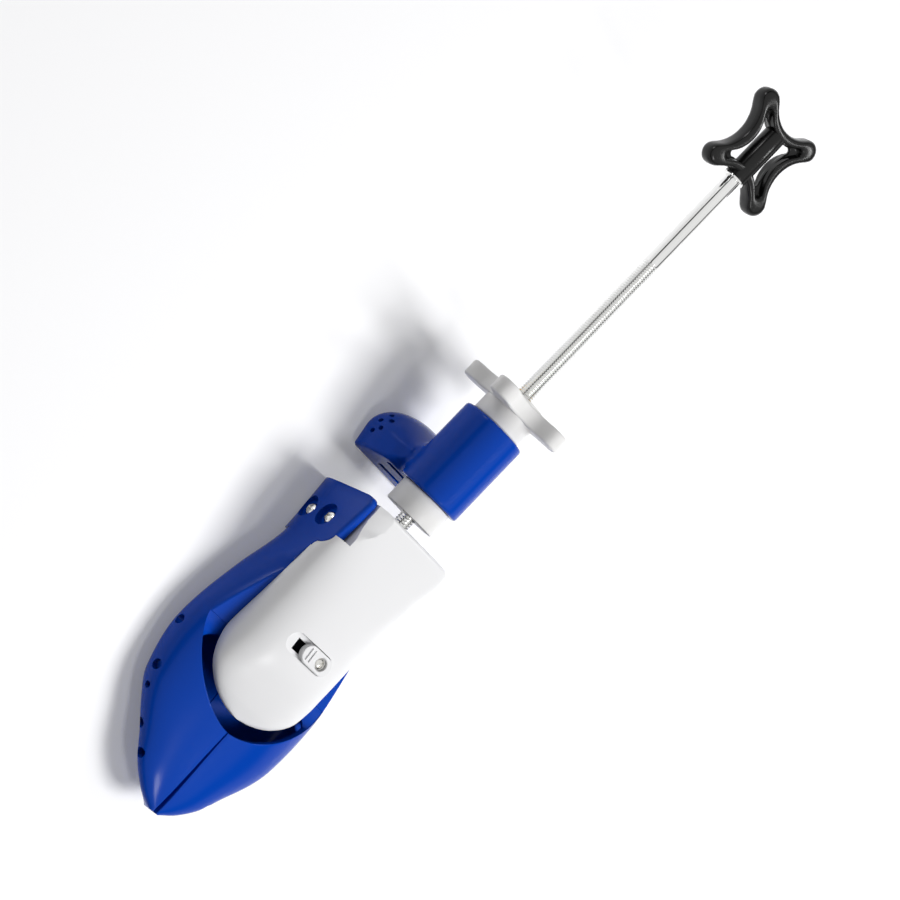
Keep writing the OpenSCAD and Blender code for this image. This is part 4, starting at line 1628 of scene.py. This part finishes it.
@dataclass(frozen=True)
class Studio:
    """Floor, light and the view of the photograph."""

    spot: tuple[float, float, float] = (257.21714874, -622.3200266, 900.12141666)
    right: tuple[float, float, float] = (-0.60255368, 0.56226691, 0.56637883)
    up: tuple[float, float, float] = (-0.767675, -0.6023589, -0.21872094)
    back: tuple[float, float, float] = (0.21818378, -0.56658597, 0.79459183)

    DOME = ((0.0, 0.95), (0.28, 0.8), (0.38, 0.04), (0.54, 0.04), (0.64, 0.85), (1.0, 0.9))

    def camera(self) -> None:
        """Sets the camera at the photograph's angle."""
        data = bpy.data.cameras.new("view")
        data.lens, data.sensor_width = 100.0, 36.0
        data.clip_start, data.clip_end = 0.05, 50.0
        cam = bpy.data.objects.new("view", data)
        bpy.context.scene.collection.objects.link(cam)
        axes = Matrix((self.right, self.up, self.back)).transposed().to_4x4()
        cam.matrix_world = Matrix.Translation(place(*self.spot)) @ axes
        bpy.context.scene.camera = cam

    def floor(self) -> None:
        """Lays a pale floor that stays white to the camera but keeps the shadow."""
        bm = bmesh.new()
        bmesh.ops.create_grid(bm, x_segments=1, y_segments=1, size=6.0)
        floor = new_object("floor", bm)
        mat = bpy.data.materials.new("floor_white")
        mat.use_nodes = True
        tree = mat.node_tree
        shader = tree.nodes["Principled BSDF"]
        preset(shader, {
            "Base Color": (0.82, 0.82, 0.83, 1.0), "Roughness": 0.9, "Specular IOR Level": 0.1,
            "Emission Color": (1.0, 1.0, 1.0, 1.0),
        })
        path = tree.nodes.new("ShaderNodeLightPath").outputs
        direct = largest(tree, path["Is Camera Ray"], path["Is Glossy Ray"])
        lift = tree.nodes.new("ShaderNodeMath")
        lift.operation = "MULTIPLY"
        lift.inputs[1].default_value = 0.14
        tree.links.new(largest(tree, direct, path["Is Transmission Ray"]), lift.inputs[0])
        tree.links.new(lift.outputs[0], shader.inputs["Emission Strength"])
        floor.data.materials.append(mat)

    def lamp(
        self, name: str, spot: tuple[float, float, float], size: float, power: float
    ) -> bpy.types.Object:
        """Hangs one soft square lamp aimed at the middle of the object.

        Args:
            name: the lamp's name.
            spot: its place in metres.
            size: its side in metres.
            power: its power in watts.

        Returns:
            The lamp.
        """
        data = bpy.data.lights.new(name, "AREA")
        data.shape = "SQUARE"
        data.size, data.energy = size, power
        lamp = bpy.data.objects.new(name, data)
        bpy.context.scene.collection.objects.link(lamp)
        aim = (Vector((0.0, 0.0, 0.03)) - Vector(spot)).to_track_quat("-Z", "Y")
        lamp.matrix_world = Matrix.Translation(Vector(spot)) @ aim.to_matrix().to_4x4()
        return lamp

    def world(self) -> None:
        """Lights the object softly from all round, with a white backdrop."""
        world = bpy.data.worlds.new("studio")
        bpy.context.scene.world = world
        world.use_nodes = True
        tree = world.node_tree
        nodes, links = tree.nodes, tree.links
        ground = nodes["Background"]
        ground.inputs["Color"].default_value = (1.0, 1.0, 1.0, 1.0)
        where = nodes.new("ShaderNodeTexCoord")
        height = nodes.new("ShaderNodeSeparateXYZ")
        links.new(where.outputs["Generated"], height.inputs["Vector"])
        dome = nodes.new("ShaderNodeValToRGB")
        spots = dome.color_ramp.elements
        for spot, _ in self.DOME[1:-1]:
            spots.new(spot)
        for element, (_, level) in zip(spots, self.DOME):
            element.color = (level, level, level, 1.0)
        links.new(height.outputs["Z"], dome.inputs["Fac"])
        path = nodes.new("ShaderNodeLightPath").outputs
        seen = nodes.new("ShaderNodeMix")
        seen.inputs["A"].default_value = 0.18
        links.new(path["Is Glossy Ray"], seen.inputs["Factor"])
        links.new(dome.outputs["Color"], seen.inputs["B"])
        strength = largest(tree, path["Is Camera Ray"], seen.outputs["Result"])
        links.new(strength, ground.inputs["Strength"])

    def build(self) -> None:
        """Sets the whole studio."""
        self.camera()
        self.floor()
        key = self.lamp("key", (0.10, 0.80, 1.30), 0.55, 21.0)
        key.visible_glossy = False
        self.lamp("toe_streak", (0.75, 0.35, 1.55), 0.25, 4.0)
        self.lamp("side_streak", (-0.55, -1.2, 0.40), 0.3, 2.4)
        self.lamp("barrel_streak", (-0.5, 0.9, 1.2), 0.2, 2.6)
        self.world()
        bpy.context.scene.view_settings.view_transform = "Standard"
        log.info("studio set")


def main() -> None:
    """Builds every piece in order."""
    logging.basicConfig(level=logging.INFO, format="%(message)s")
    palette = Palette.make()
    form = ToeForm()
    InnerPieces().build(palette)
    form.build(palette)
    InstepPlate(form).build(palette)
    Latch().build(palette)
    EarScrews().build(palette)
    Heel().build(palette)
    Knob().build(palette)
    Rod().build(palette)
    Handle().build(palette)
    Studio().build()


if __name__ == "__main__":
    main()
